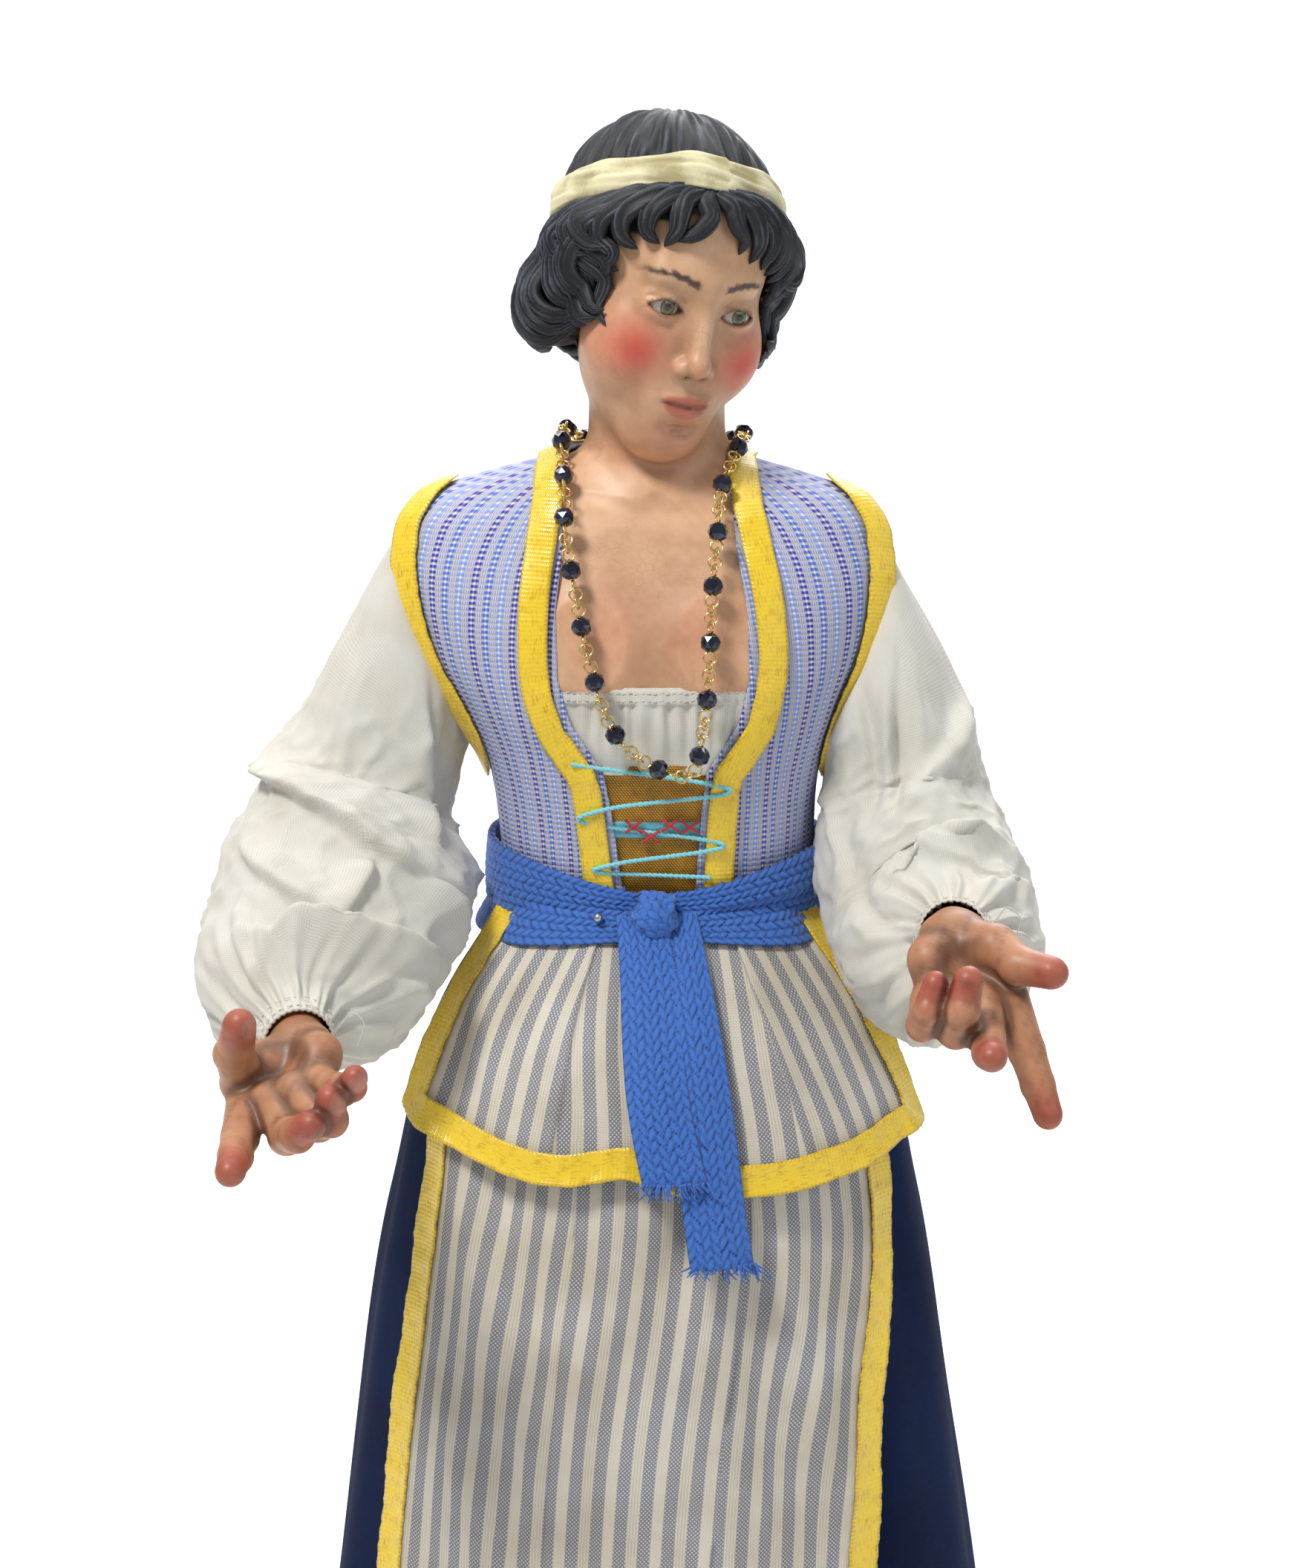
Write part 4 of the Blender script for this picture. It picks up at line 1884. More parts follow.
@dataclass(frozen=True)
class Sleeve:
    """A full sleeve of fine cotton, gathered into the armhole and into a stitched cuff."""

    side: Side
    rows: int = 132
    columns: int = 144
    thickness: float = 0.4
    cuff_radius: float = 7.6
    cuff_end: float = 6.6
    cuff_length: float = 5.0
    sewn: float = 0.24  # the share of its length that it takes to leave the armhole's shape
    over: float = 1.0  # how far out of the bodice's form it starts, under the armhole's ribbon

    def ring(self, ahead: Array) -> tuple[Array, Array]:
        """The two ways across the sleeve at each of its middles."""
        right = unit(np.array([1.0, 0, 0]) - ahead * ahead[:, :1])
        return right, np.cross(ahead, right)

    def middles(self) -> tuple[Array, Array, Array]:
        """The line through its middle, how far along each point is, and its two radii there."""
        arm = ARMS[self.side]
        out = arm.out_of_cuff()
        wrist = np.array(arm.wrist)
        cuff = [[*(wrist - out * (self.cuff_length - 2.5)), self.cuff_radius, self.cuff_radius]]
        cuff.append([*(wrist + out * 2.5), self.cuff_end, self.cuff_end])
        knots = np.vstack([arm.sleeve, cuff])
        middle = smooth_line(knots[:, :3], self.rows)
        run = run_of(middle)
        places = [np.argmin(np.linalg.norm(middle - knot[:3], axis=1)) for knot in knots]
        return middle, run, through(np.column_stack([run[places], knots[:, 3:]]), run)

    def grid(self) -> Array:
        """The points of its face, in the frame's axes."""
        middle, run, sizes = self.middles()
        ahead = unit(ahead_of(middle))
        right, up = self.ring(ahead)
        t = (run / run[-1])[:, None]
        angle = turns(self.columns)[None, :]
        radius = 1 / np.hypot(np.sin(angle) / sizes[:, :1], np.cos(angle) / sizes[:, 1:])
        lift, pull = self.relief(t, angle, run[:, None], run[-1])
        radius = radius + lift
        ways = right[:, None] * np.cos(angle)[..., None] + up[:, None] * np.sin(angle)[..., None]
        grid = middle[:, None] + ways * radius[..., None] + [0, 0, FIGURE_Z]
        around = up[:, None] * np.cos(angle)[..., None] - right[:, None] * np.sin(angle)[..., None]
        grid = grid + ahead[:, None] * pull[..., :1] + around * pull[..., 1:]
        side = -1 if self.side is Side.RIGHT else 1
        hole = armhole(side, angle[0] if side < 0 else math.pi - angle[0])
        hole = hole + TORSO.settle(hole)[1] * self.over
        grid = grid + (hole - grid) * (1 - step(t, 0, self.sewn))[..., None]
        return self.clear(grid, side)

    def build(self) -> list[Thing]:
        """Makes the sleeve.

        Returns:
            The sleeve, declared as real cloth.
        """
        middle, run, _ = self.middles()
        angle = turns(self.columns)[None, :]
        lay = stacked(angle * 18, run[:, None])
        shape = cloth(self.grid(), self.thickness, lay, loop=True) + self.stitches(middle, run)
        name = self.side.value
        piece = shape.piece(f"sleeve_cloth_{name}", Finishes.batiste, "white_cotton")
        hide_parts(f"blouse_sleeve_{name}")
        return [piece]

    def relief(self, t: Array, angle: Array, run: Array, length: float) -> tuple[Array, Array]:
        """How far the folds and gathers lift the cloth, and how far they pull it along and round."""
        seed = 70 if self.side is Side.RIGHT else 90
        loose = step(t, 0.1, 0.3) * step(t, 0.97, 0.86)
        spots = stacked(np.cos(angle) * 19, np.sin(angle) * 19, run * 0.7)
        creases = 1 - np.abs(waver(spots * [1, 1, 0.6], seed + 5, 17, 6))
        total = loose * (
            0.9 * waver(spots, seed, 38, 5) + 0.9 * creases**3 + 0.3 * waver(spots, seed + 9, 9, 6)
        )
        pull = np.zeros((*np.broadcast(t, angle).shape, 2))
        free = step(t, 0.02, 0.12) * step(t, 0.97, 0.9)
        for fold in FOLDS[self.side]:
            lift, over = fold.rise(t, angle, 20, length)
            total = total + free * lift
            pull = pull + free[..., None] * over
        at_cuff = step(t, 0.76, 0.93) * step(t, 0.985, 0.955)
        gathers = np.sin(15 * angle + 2 * np.sin(3 * angle)) + 0.5 * np.sin(27 * angle + 6 * t)
        total = total + 0.9 * at_cuff * gathers
        in_cuff = step(t, 0.945, 0.96)
        return total + in_cuff * 0.14 * np.sin(34 * angle), pull

    def clear(self, grid: Array, side: int) -> Array:
        """Moves points out of the bodice, its ribbon, the sash and the skirt."""
        height = grid[..., 2] - FIGURE_Z
        row = through(TORSO.stations, height)
        wanted = row[..., 0] - 0.4 - side * (grid[..., 0] - row[..., 3])
        ahead = step(grid[..., 1], -5, -10) * step(height, 254, 262) * (height < 312)
        grid = grid.copy()
        grid[..., 0] += side * np.clip(wanted, 0, 12) * ahead
        lift = self.over + (LAYERS.bodice_ribbon + LAYERS.ribbon + 0.9 - self.over) * step(height, 262, 250)
        near = (np.abs(grid[..., 0]) < 75) & (height > 225)
        grid = TORSO.pushed(grid, lift, near)
        height = grid[..., 2] - FIGURE_Z
        return SKIRT.pushed(grid, LAYERS.sash + 3.2, step(height, WAIST + 4, WAIST))

    def stitches(self, middle: Array, run: Array) -> Shape:
        """The running stitches round the cuff and its loose thread."""
        parts = []
        right, up = (way[-1] for way in self.ring(unit(ahead_of(middle))))
        for back in (1.1, 3.9):
            place = run[-1] - back
            centre = np.array([np.interp(place, run, middle[:, k]) for k in range(3)]) + [0, 0, FIGURE_Z]
            for k in range(26):
                angle = np.linspace(k, k + 0.55, 4) * FULL_TURN / 26
                ring = right * np.cos(angle)[:, None] + up * np.sin(angle)[:, None]
                radius = self.cuff_end + (self.cuff_radius - self.cuff_end) * back / self.cuff_length + 0.3
                parts.append(tube(centre + ring * radius, 0.13, 5))
        start = middle[-1] + [0, 0, FIGURE_Z] + up * 2.52 + right * 8.0
        turns_at = ((0, 0, 0), (2, 0, 2.4), (4.4, -1, 0.4), (3, -1, -4.5))
        thread = [start + right * reach + [0, y, z] for reach, y, z in turns_at]
        parts.append(tube(smooth_line(np.array(thread), 24), 0.12, 5))
        return gather(parts)


@dataclass(frozen=True)
class Hand:
    """A modelled hand with its wrist."""

    side: Side
    grain: float = 0.5
    parts: Triple = (0.46, 0.3, 0.24)
    radii: tuple[float, float, float, float] = (3.7, 3.4, 3.1, 2.75)
    thumb_radii: tuple[float, float, float, float] = (4.8, 4.2, 3.6, 3.1)

    def frame(self) -> tuple[Array, Array, Array, Array]:
        """The heel's place, and the ways ahead, out of the palm and towards the thumb."""
        arm = ARMS[self.side]
        ahead = unit(np.array(arm.heading))
        palm = np.array(arm.palm)
        palm = unit(palm - ahead * (palm @ ahead))
        thumb = unit(np.cross(ahead, palm))
        if thumb[0] * arm.thumb_side < 0:
            thumb = -thumb
        heel = np.array(arm.wrist) + arm.out_of_cuff() * 4.5 + [0, 0, FIGURE_Z]
        return heel, ahead, palm, thumb

    def joints(self) -> list[Array]:
        """The joints of the four fingers, from the first finger on, and of the thumb."""
        arm = ARMS[self.side]
        heel, ahead, palm, thumb = self.frame()
        fingers = []
        for i, (spread, sweep, bends, length) in enumerate(arm.fingers):
            points = [heel + thumb * (7.6 - 5.1 * i) + ahead * (15.5 - 0.6 * abs(i - 1))]
            bend = 0.0
            for k, part in enumerate(self.parts):
                turn = spread + k * sweep
                way = ahead * math.cos(turn) - thumb * math.sin(turn)
                bend += bends[k]
                points.append(points[-1] + (way * math.cos(bend) + palm * math.sin(bend)) * part * length)
            fingers.append(np.array(points))
        fingers.append(np.array([heel + thumb * a + ahead * b + palm * c for a, b, c in arm.thumb]))
        return fingers

    def form(self, p: Array) -> Array:
        """Distances to the hand."""
        heel, ahead, palm, thumb = self.frame()
        out = ARMS[self.side].out_of_cuff()
        start = heel - out * 4.5
        body = rod(p, start - out * 9, start + out * 2, 5.7, 5.3)
        for place, wide in ((6.2, 3.8), (2.2, 4.2), (-2.2, 4.2), (-6.6, 3.7)):
            root = heel + thumb * place * 0.45 + ahead * 1.0
            tip = heel + thumb * place * 1.12 + ahead * (15.5 - abs(place) * 0.12)
            body = join(body, rod(p, root, tip, wide, wide * 0.9), 2.2)
        body = join(body, ball(p, heel + thumb * 5.2 + ahead * 6.5 + palm * 2.2, (4.6, 4.6, 4.6)), 3)
        body = join(body, ball(p, heel - thumb * 6.2 + ahead * 6 + palm * 1.2, (3.9, 3.9, 3.9)), 3)
        body = carve(body, ball(p, heel + ahead * 10.5 + palm * 6.6, (4.2, 4.2, 4.2)), 3)
        for i, points in enumerate(self.joints()):
            size = (1, 1, 1, 0.84, 1)[i]
            sizes = self.thumb_radii if i == 4 else self.radii
            digit = None
            for k in range(3):
                piece = rod(p, points[k], points[k + 1], sizes[k] * size, sizes[k + 1] * size)
                digit = piece if digit is None else join(digit, piece, 0.6)
            tip = points[3]
            digit = join(digit, ball(p, tip + unit(tip - points[2]) * 0.9, (2.3 * size,) * 3), 0.8)
            last = unit(tip - points[2])
            back = unit(points[2] - points[1] - last * ((points[2] - points[1]) @ last) - palm * 0.4)
            back = unit(back - last * (back @ last))
            for k in (1, 2):
                digit = join(digit, ball(p, points[k] + back * 0.5, (sizes[k] * size * 0.98,) * 3), 0.5)
            body = join(body, digit, 1.3)
        return body

    def nails(self) -> list[tuple[Array, Array]]:
        """Each nail's middle and the way out of it."""
        found = []
        palm = self.frame()[2]
        for i, points in enumerate(self.joints()):
            last = unit(points[3] - points[2])
            rough = -palm if i < 4 else -unit(np.cross(np.cross(last, palm), last))
            back = unit(rough - last * (rough @ last))
            found.append((points[3] + back * 2.2 + last * 0.6, back))
        return found

    def build(self) -> list[Thing]:
        """Makes the hand.

        Returns:
            The hand.
        """
        heel = self.frame()[0]
        every = np.vstack([*self.joints(), heel[None], (heel - ARMS[self.side].out_of_cuff() * 14)[None]])
        shape = model(self.form, every.min(0) - 7, every.max(0) + 7, self.grain)
        shape.values["paint"] = self.paint(shape.points)
        name = self.side.value
        piece = shape.piece(f"hand_{name}_clay", Finishes.skin, "painted_terracotta")
        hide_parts(f"hand_{name}")
        return [piece]

    def paint(self, p: Array) -> Array:
        """The painter's colours: red finger ends, dark nail rims and grime in the hollows."""
        tone = np.broadcast_to(rgb("#c4936f"), p.shape).copy()
        warm = np.clip(0.5 + 0.5 * waver(p, 130, 16, 5), 0, 1)
        tone = washed(tone, "#a8654a", 0.5 * warm)
        for points in self.joints():
            near = np.linalg.norm(p - points[3], axis=1)
            tone = washed(tone, "#a83a34", 0.75 * step(near, 6.5, 2.0))
            for k in (1, 2):
                close = np.linalg.norm(p - points[k], axis=1)
                tone = washed(tone, "#b8674a", 0.3 * step(close, 4.6, 3.0))
        for middle, back in self.nails():
            q = p - middle
            up = q @ back
            flat = np.linalg.norm(q - up[:, None] * back, axis=1)
            shown = step(np.abs(up), 2.4, 1.6) * step(flat, 2.5, 2.2)
            rim = shown * step(flat, 1.5, 2.1)
            tone = washed(tone, "#d79a86", 0.6 * shown)
            tone = washed(tone, "#4a2a1c", 0.3 * rim)
        hollow = self.form(p + slope_of(self.form, p) * 1.6) - 1.6
        grime = np.clip(-hollow * 1.8, 0, 1) + 0.5 * np.clip(waver(p, 140, 7, 7) - 0.3, 0, 1)
        return washed(tone, "#4c2f1f", np.clip(grime, 0, 1) * 0.7)


# The head: painted clay, glass eyes, modelled hair and band.


@dataclass(frozen=True)
class Head:
    """The head, neck and chest. She faces -Y in the head's own frame, whose middle is between the ears."""

    at: Triple = (1.4, -6, 353.6 + FIGURE_Z)
    nod: float = 0.22
    roll: float = 0.26
    turn: float = 0.45
    size: float = 0.94  # its own units are this many millimetres
    tilt: float = 0.55  # how far the rings of the hair and the band lean back
    sway: float = -0.04
    rise: float = 0.47  # the band's middle, above the middle ring
    half_band: float = 0.13
    proud: float = 1.4
    middle: Triple = (0, 0, 3)
    eye: Triple = (8.3, -16.6, 0)
    eye_radius: float = 4.4
    gaze: tuple[float, float] = (0.35, 0.25)
    half_slit: float = 3.85  # of an eye's opening
    mouth: float = -18.75  # the height between the lips
    grain: float = 0.54
    neck: tuple[Triple, ...] = (
        (296, 2, 17), (310, 1, 16), (316, 0.3, 14.8), (324, -0.4, 14), (334, -2, 13.6), (346, -4, 13.8),
    )

    def spin(self) -> Array:
        """The turn from the head's own frame to the figure's."""
        turned = Matrix.Rotation(self.roll, 3, "Y") @ Matrix.Rotation(self.nod, 3, "X")
        return np.array(turned @ Matrix.Rotation(self.turn, 3, "Z"))

    def posed(self, p: Array) -> Array:
        """Points of the head's own frame, in the figure's."""
        return p @ self.spin().T * self.size + self.at

    def own(self, p: Array) -> Array:
        """Points of the figure's frame, in the head's own."""
        return (p - self.at) @ self.spin() / self.size

    def skull(self, p: Array) -> Array:
        """Distances to the face and skull, without its small features."""
        q = mirrored(p)
        d = ball(q, (0, 3, 8), (21, 25.5, 22))
        d = join(d, ball(q, (0, -6.5, -11.5), (17.7, 16.5, 20.5)), 7)
        d = join(d, ball(q, (0, -16, -27), (8.4, 7.6, 7.2)), 7)
        d = join(d, ball(q, (11.0, -12.6, -9.5), (8.0, 8.2, 9)), 6)
        d = join(d, rod(q, (0, -20.2, 6.4), (9.5, -18.2, 7.2), 2.4, 2.0), 4)
        return carve(d, ball(q, (8.3, -26, 0.4), (6, 5.5, 4.6)), 3)

    def face(self, p: Array) -> Array:
        """Distances to the face with its features."""
        q = mirrored(p)
        x, y, z = q[..., 0], q[..., 1], q[..., 2]
        d = self.skull(p)
        d = join(d, ball(q, self.eye, (5.35, 5.3, 4.9)), 1.0)
        d = join(d, rod(q, (0, -21.2, 3.6), (0, -25.0, -8.6), 1.4, 2.1), 3.2)
        d = join(d, ball(q, (0, -25.6, -9.9), (2.4, 2.7, 2.3)), 1.8)
        d = join(d, ball(q, (2.8, -23.5, -10.9), (1.6, 2.5, 1.6)), 1.2)
        d = carve(d, ball(q, (1.7, -24.7, -12.8), (0.95, 1.5, 0.8)), 0.6)
        d = join(d, ball(q, (0, -19.2, -19), (8.0, 5.2, 7.6)), 5)
        d = carve(d, rod(q, (0, -25.0, -13.8), (0, -25.5, -16.0), 0.5, 0.7), 0.9)
        d = join(d, ball(q, (1.6, -23.7, -17.4), (3.9, 1.9, 1.25)), 1.0)
        d = join(d, ball(q, (0, -23.6, -20.3), (4.4, 2.0, 1.45)), 1.0)
        parting = np.abs(z - self.mouth + 0.25 * np.cos(x * 1.1) - 0.012 * x**2) - 0.16
        d = carve(d, np.maximum(np.maximum(parting, x - 5.2), -d - 0.35), 0.4)
        d = carve(d, ball(q, (0, -25.4, -24.2), (4.6, 1.9, 1.1)), 1.8)
        u = np.clip((x - self.eye[0]) / self.half_slit, -1, 1)
        upper = 1.75 * (1 - u**2) + 0.25 * u
        lower = -1.3 * (1 - u**2) + 0.25 * u
        slit = np.maximum(z - upper, lower - z) * 0.8
        slit = np.maximum(slit, np.abs(x - self.eye[0]) - self.half_slit)
        room = np.maximum(slit, ball(q, self.eye, (6.6, 6.6, 6.6)))
        d = carve(d, np.maximum(room, y + 15), 0.22)
        crease = np.minimum(
            rod(q, (4.6, -20.6, 1.9), (8.4, -21.9, 3.3), 0.2, 0.3),
            rod(q, (8.4, -21.9, 3.3), (12.6, -19.3, 1.7), 0.3, 0.2),
        )
        d = carve(d, crease, 0.8)
        ear = ball(q, (20.3, 2.0, -5.5), (2.0, 4.2, 6.6))
        ear = carve(ear, ball(q, (22.3, 1.2, -4.6), (1.5, 2.6, 4.4)), 0.6)
        return join(d, ear, 1)

    def hair(self, p: Array) -> Array:
        """Distances to the mass of the hair."""
        q = mirrored(p)
        d = ball(q, (0, 5, 9.8), (23.2, 26.5, 24.6))
        d = join(d, ball(q, (17.6, -1, 6), (6, 8.5, 8)), 4)
        d = join(d, ball(q, (19.4, 4, -8), (5.6, 8.6, 8.6)), 3)
        return join(d, ball(q, (0, 18, -12), (15, 9.5, 12)), 6)

    def throat(self, p: Array) -> Array:
        """Distances to the neck and chest, in the figure's frame."""
        height = p[..., 2] - FIGURE_Z
        stations = np.array(self.neck)
        y = np.interp(height, stations[:, 0], stations[:, 1])
        r = np.interp(height, stations[:, 0], stations[:, 2])
        d = np.hypot(p[..., 0], (p[..., 1] - y) / 0.84) - r
        d = np.maximum(d * 0.9, height - 349)
        for side in (-1, 1):
            top, foot = (side * 11, -2, 345 + FIGURE_Z), (side * 3.4, -10.8, 314 + FIGURE_Z)
            d = join(d, rod(p, top, foot, 2.2, 1.4), 6)
        own, clothing = TORSO.reaches(p)
        clothed = own - clothing
        chest = np.maximum((clothed + 1.3) * 0.8, height - 318.5)
        for side in (-1, 1):
            bone = rod(p, (side * 4.6, -11.6, 311.2 + FIGURE_Z), (side * 19, -9.6, 315 + FIGURE_Z), 1.4, 1.5)
            chest = join(chest, bone, 5)
            breast = ball(p, (side * 12 - 1, -18.5, 280 + FIGURE_Z), (12, 9.4, 14))
            chest = join(chest, breast, 5)
        under = clothed + 0.25 + 2.4 * step(height, WAIST + 44, WAIST + 41)  # behind the blouse
        return join(d, np.maximum(chest, under), 6)

    def form(self, p: Array) -> Array:
        """Distances to the whole clay form."""
        return join(self.face(self.own(p)) * self.size, self.throat(p), 2.5)

    def surface(self, around: Array, slope: Array, out: Array | float) -> Array:
        """Points over the hair and the skull, so far round the band's ring and to its back or front.

        Args:
            around: the angle round the ring, 0 over the brow.
            slope: the angle behind the ring's middle, or below 0 before it.
            out: how far out.

        Returns:
            The points, in the head's own frame.
        """
        around, slope = paired(around, slope)
        s, c = math.sin(self.tilt), math.cos(self.tilt)
        way = stacked(np.sin(around), -c * np.cos(around), s * np.cos(around)) * np.cos(slope)[..., None]
        way = way + np.array([0, s, c]) * np.sin(slope)[..., None]
        sx, cx = math.sin(-self.sway), math.cos(-self.sway)
        x, y, z = np.moveaxis(way, -1, 0)
        way = stacked(x * cx + z * sx, y, z * cx - x * sx)
        near, far = np.zeros(around.shape), np.full(around.shape, 60.0)
        for _ in range(22):
            reach = (near + far) / 2
            spot = way * reach[..., None] + self.middle
            inside = np.minimum(self.skull(spot), self.hair(spot)) < 0
            near, far = np.where(inside, reach, near), np.where(inside, far, reach)
        return way * (near + out)[..., None] + self.middle

    def clay(self) -> Thing:
        """Makes the face, neck and chest."""
        low = (-24, -34, FIGURE_Z + 270)
        high = (32, 32, FIGURE_Z + 372)
        shape = self.within(model(self.form, low, high, self.grain))
        shape.values["paint"] = self.paint(shape.points)
        piece = shape.piece("head_and_bust_clay", Finishes.skin, "painted_terracotta")
        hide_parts("head_and_bust")
        return piece

    def within(self, shape: Shape) -> Shape:
        """The shape without what is under the hair's cap."""
        q = self.own(shape.points)
        hidden = (self.hair(q) < -3.4) & (q[:, 2] > -20) & (shape.points[:, 2] > FIGURE_Z + 330)
        faces = np.array(shape.faces)
        keep = ~hidden[faces].all(1)
        used = np.unique(faces[keep])
        number = np.full(len(shape.points), -1)
        number[used] = np.arange(len(used))
        return Shape(shape.points[used], [tuple(f) for f in number[faces[keep]].tolist()])

    def paint(self, p: Array) -> Array:
        """The painter's colours at each point.

        Args:
            p: points in the figure's frame.

        Returns:
            Linear colours.
        """
        q = self.own(p)
        x, y, z = np.abs(q[:, 0]), q[:, 1], q[:, 2]
        on_face = step(p[:, 2], FIGURE_Z + 322, FIGURE_Z + 330) * step(y, 6, -6)
        tone = np.broadcast_to(rgb("#dfb591"), p.shape).copy()

        def wash(colour: str, share: Array) -> None:
            """Lays a coat of another colour over the paint."""
            nonlocal tone
            tone = washed(tone, colour, share)

        wash("#cf9a72", 0.3 * np.clip(0.5 + waver(p, 200, 30, 6), 0, 1))
        cheek = np.exp(-(((x - 12.5) / 6.4) ** 2 + ((z + 9.5) / 6.2) ** 2))
        wash("#d8453f", 0.86 * cheek * on_face)
        wash("#c9604c", 0.35 * np.exp(-((x / 5) ** 2 + ((z + 29) / 4) ** 2)) * on_face)
        wash("#c65f4a", 0.3 * np.exp(-((x / 3) ** 2 + ((z + 10) / 2.4) ** 2)) * on_face)
        chest = np.exp(-(((np.abs(p[:, 0] + 1) - 9) / 8) ** 2 + ((p[:, 2] - FIGURE_Z - 286) / 9) ** 2))
        wash("#d67c68", 0.34 * chest)
        throat = np.exp(-((p[:, 0] / 12) ** 2 + ((p[:, 2] - FIGURE_Z - 322) / 7) ** 2))
        wash("#cc755d", 0.38 * throat)
        upper = step(x, 5.6, 4.4) * step(z, -19.2, -18.4) * step(z, -16.1 - 0.1 * x, -16.8 - 0.14 * x)
        lower = step(x, 5.2, 4.0) * step(z, -18.2, -18.8) * step(z, -21.9 + 0.07 * x**2, -21.2 + 0.07 * x**2)
        wash("#bd5047", 0.75 * np.maximum(upper, lower) * on_face)
        wash("#6a2a22", 0.6 * np.exp(-(((z - self.mouth) / 0.3) ** 2)) * step(x, 5.9, 4.6) * on_face)
        arc = 5.9 + 1.5 * np.sin(np.clip((x - 3) / 12.5, 0, 1) * math.pi) + 0.25 * waver(q, 44, 2.2, 3)
        thick = 0.8 - 0.03 * (x - 3) + 0.12 * waver(q, 45, 1.4, 3)
        brow = step(np.abs(z - arc), thick + 0.25, thick - 0.2) * step(x, 2.6, 3.6) * step(x, 15.4, 12)
        wash("#2e2320", 0.92 * brow * on_face)
        u = (x - self.eye[0]) / self.half_slit
        rim = np.exp(-(((z - 1.95 * (1 - u**2) - 0.25 * u) / 0.42) ** 2)) * step(np.abs(u), 1.25, 0.9)
        wash("#2a1a12", 0.85 * rim * on_face)
        under = np.exp(-(((z + 1.5 * (1 - u**2) - 0.25 * u) / 0.36) ** 2)) * step(np.abs(u), 1.15, 0.85)
        wash("#7a3a2c", 0.55 * under * on_face)
        nostril = np.exp(-(((x - 1.7) / 0.8) ** 2 + ((y + 24.9) / 1.2) ** 2 + ((z + 12.6) / 0.7) ** 2))
        wash("#6a3426", 0.75 * nostril)
        hollow = self.form(p + slope_of(self.form, p) * 2.2) - 2.2
        wash("#7c5236", 0.4 * np.clip(-hollow * 0.9, 0, 1))
        wash("#7c5236", 0.13 * np.clip(waver(p, 210, 12, 7), 0, 1))
        lobe = step(x, 18.6, 19.6) * step(z, -6.5, -8.5) * step(z, -16, -14)
        wash("#c2413a", 0.7 * lobe * step(y, -3, -1.6) * step(y, 7, 5))
        ragged = 0.9 * waver(q, 47, 5, 4)
        above = step(z - 20.5 + 0.034 * x**2 + ragged, -0.6, 0.6)
        beside = step(y + ragged, -7.6, -6.4) * step(z, -7.5, -6)
        behind = step(y, 6, 8) * step(z, -24, -21)
        scalp = np.maximum(np.maximum(above, beside), behind) * (p[:, 2] > FIGURE_Z + 326)
        wash("#17181d", 0.96 * scalp)
        return tone

    def eyes(self) -> list[Thing]:
        """Makes the glass eyes.

        Returns:
            Both.
        """
        made = []
        for side, name in ((-1, "eye_right"), (1, "eye_left")):
            centre = np.array([side * self.eye[0], self.eye[1], self.eye[2]])
            lean = np.linspace(0, math.pi, 30)
            line = centre + stacked(0.0, -self.eye_radius * np.cos(lean), 0.0)
            radius = self.eye_radius * np.sin(np.clip(lean, 0.03, math.pi - 0.03))
            shape = tube(line, radius, 44, side=np.array([1.0, 0, 0]))
            off = shape.points - centre
            shape.values["lay"] = stacked(off[:, 0] - self.gaze[0], off[:, 2] - self.gaze[1], 0.0)
            shape.values["lay"][off[:, 1] > 0] = [9, 9, 0]  # its back is outside the iris
            shape.points = self.posed(shape.points)
            piece = shape.piece(f"{name}_glass", Finishes.eye, "eye_glass")
            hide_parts(name)
            made.append(piece)
        return made

    def band(self) -> Thing:
        """Makes the linen band round the hair."""
        around = turns(320)[None, :]
        t = np.linspace(-1, 1, 18)[:, None]
        run = around * HEAD_ROUND
        wide = self.half_band * (1 + 0.1 * waver(stacked(run, 0 * run), 31, 30, 4))
        slope = self.rise + t * wide + 0.01 * waver(stacked(run, 0 * run + 5), 33, 20, 4)
        folds = 0.35 * waver(stacked(run * 0.45, t * 6), 36, 9, 5)
        crown = 0.5 * np.sqrt(np.clip(1 - t**2, 0, 1))
        grid = self.posed(self.surface(around, slope, self.proud - 0.1 + crown + folds))
        lay = stacked(t * 4, run)
        share = np.clip(0.5 + folds / 0.7, 0, 1)
        return cloth(grid, 3.2, lay, loop=True, rise=share).piece(
            "hair_band_linen", Finishes.band, "painted_terracotta",
        )

    def build(self) -> list[Thing]:
        """Makes the head, the eyes, the band and the hair.

        Returns:
            Its pieces.
        """
        return [self.clay(), *self.eyes(), self.band(), Hair(self).build()]


@dataclass(frozen=True)
class Lock:
    """One modelled lock: the places that it goes through, from its root to its tip."""

    knots: tuple[Triple, ...]  # round the head, up from the middle ring, and out
    width: float = 3.0
    height: float = 1.7
    strands: int = 4


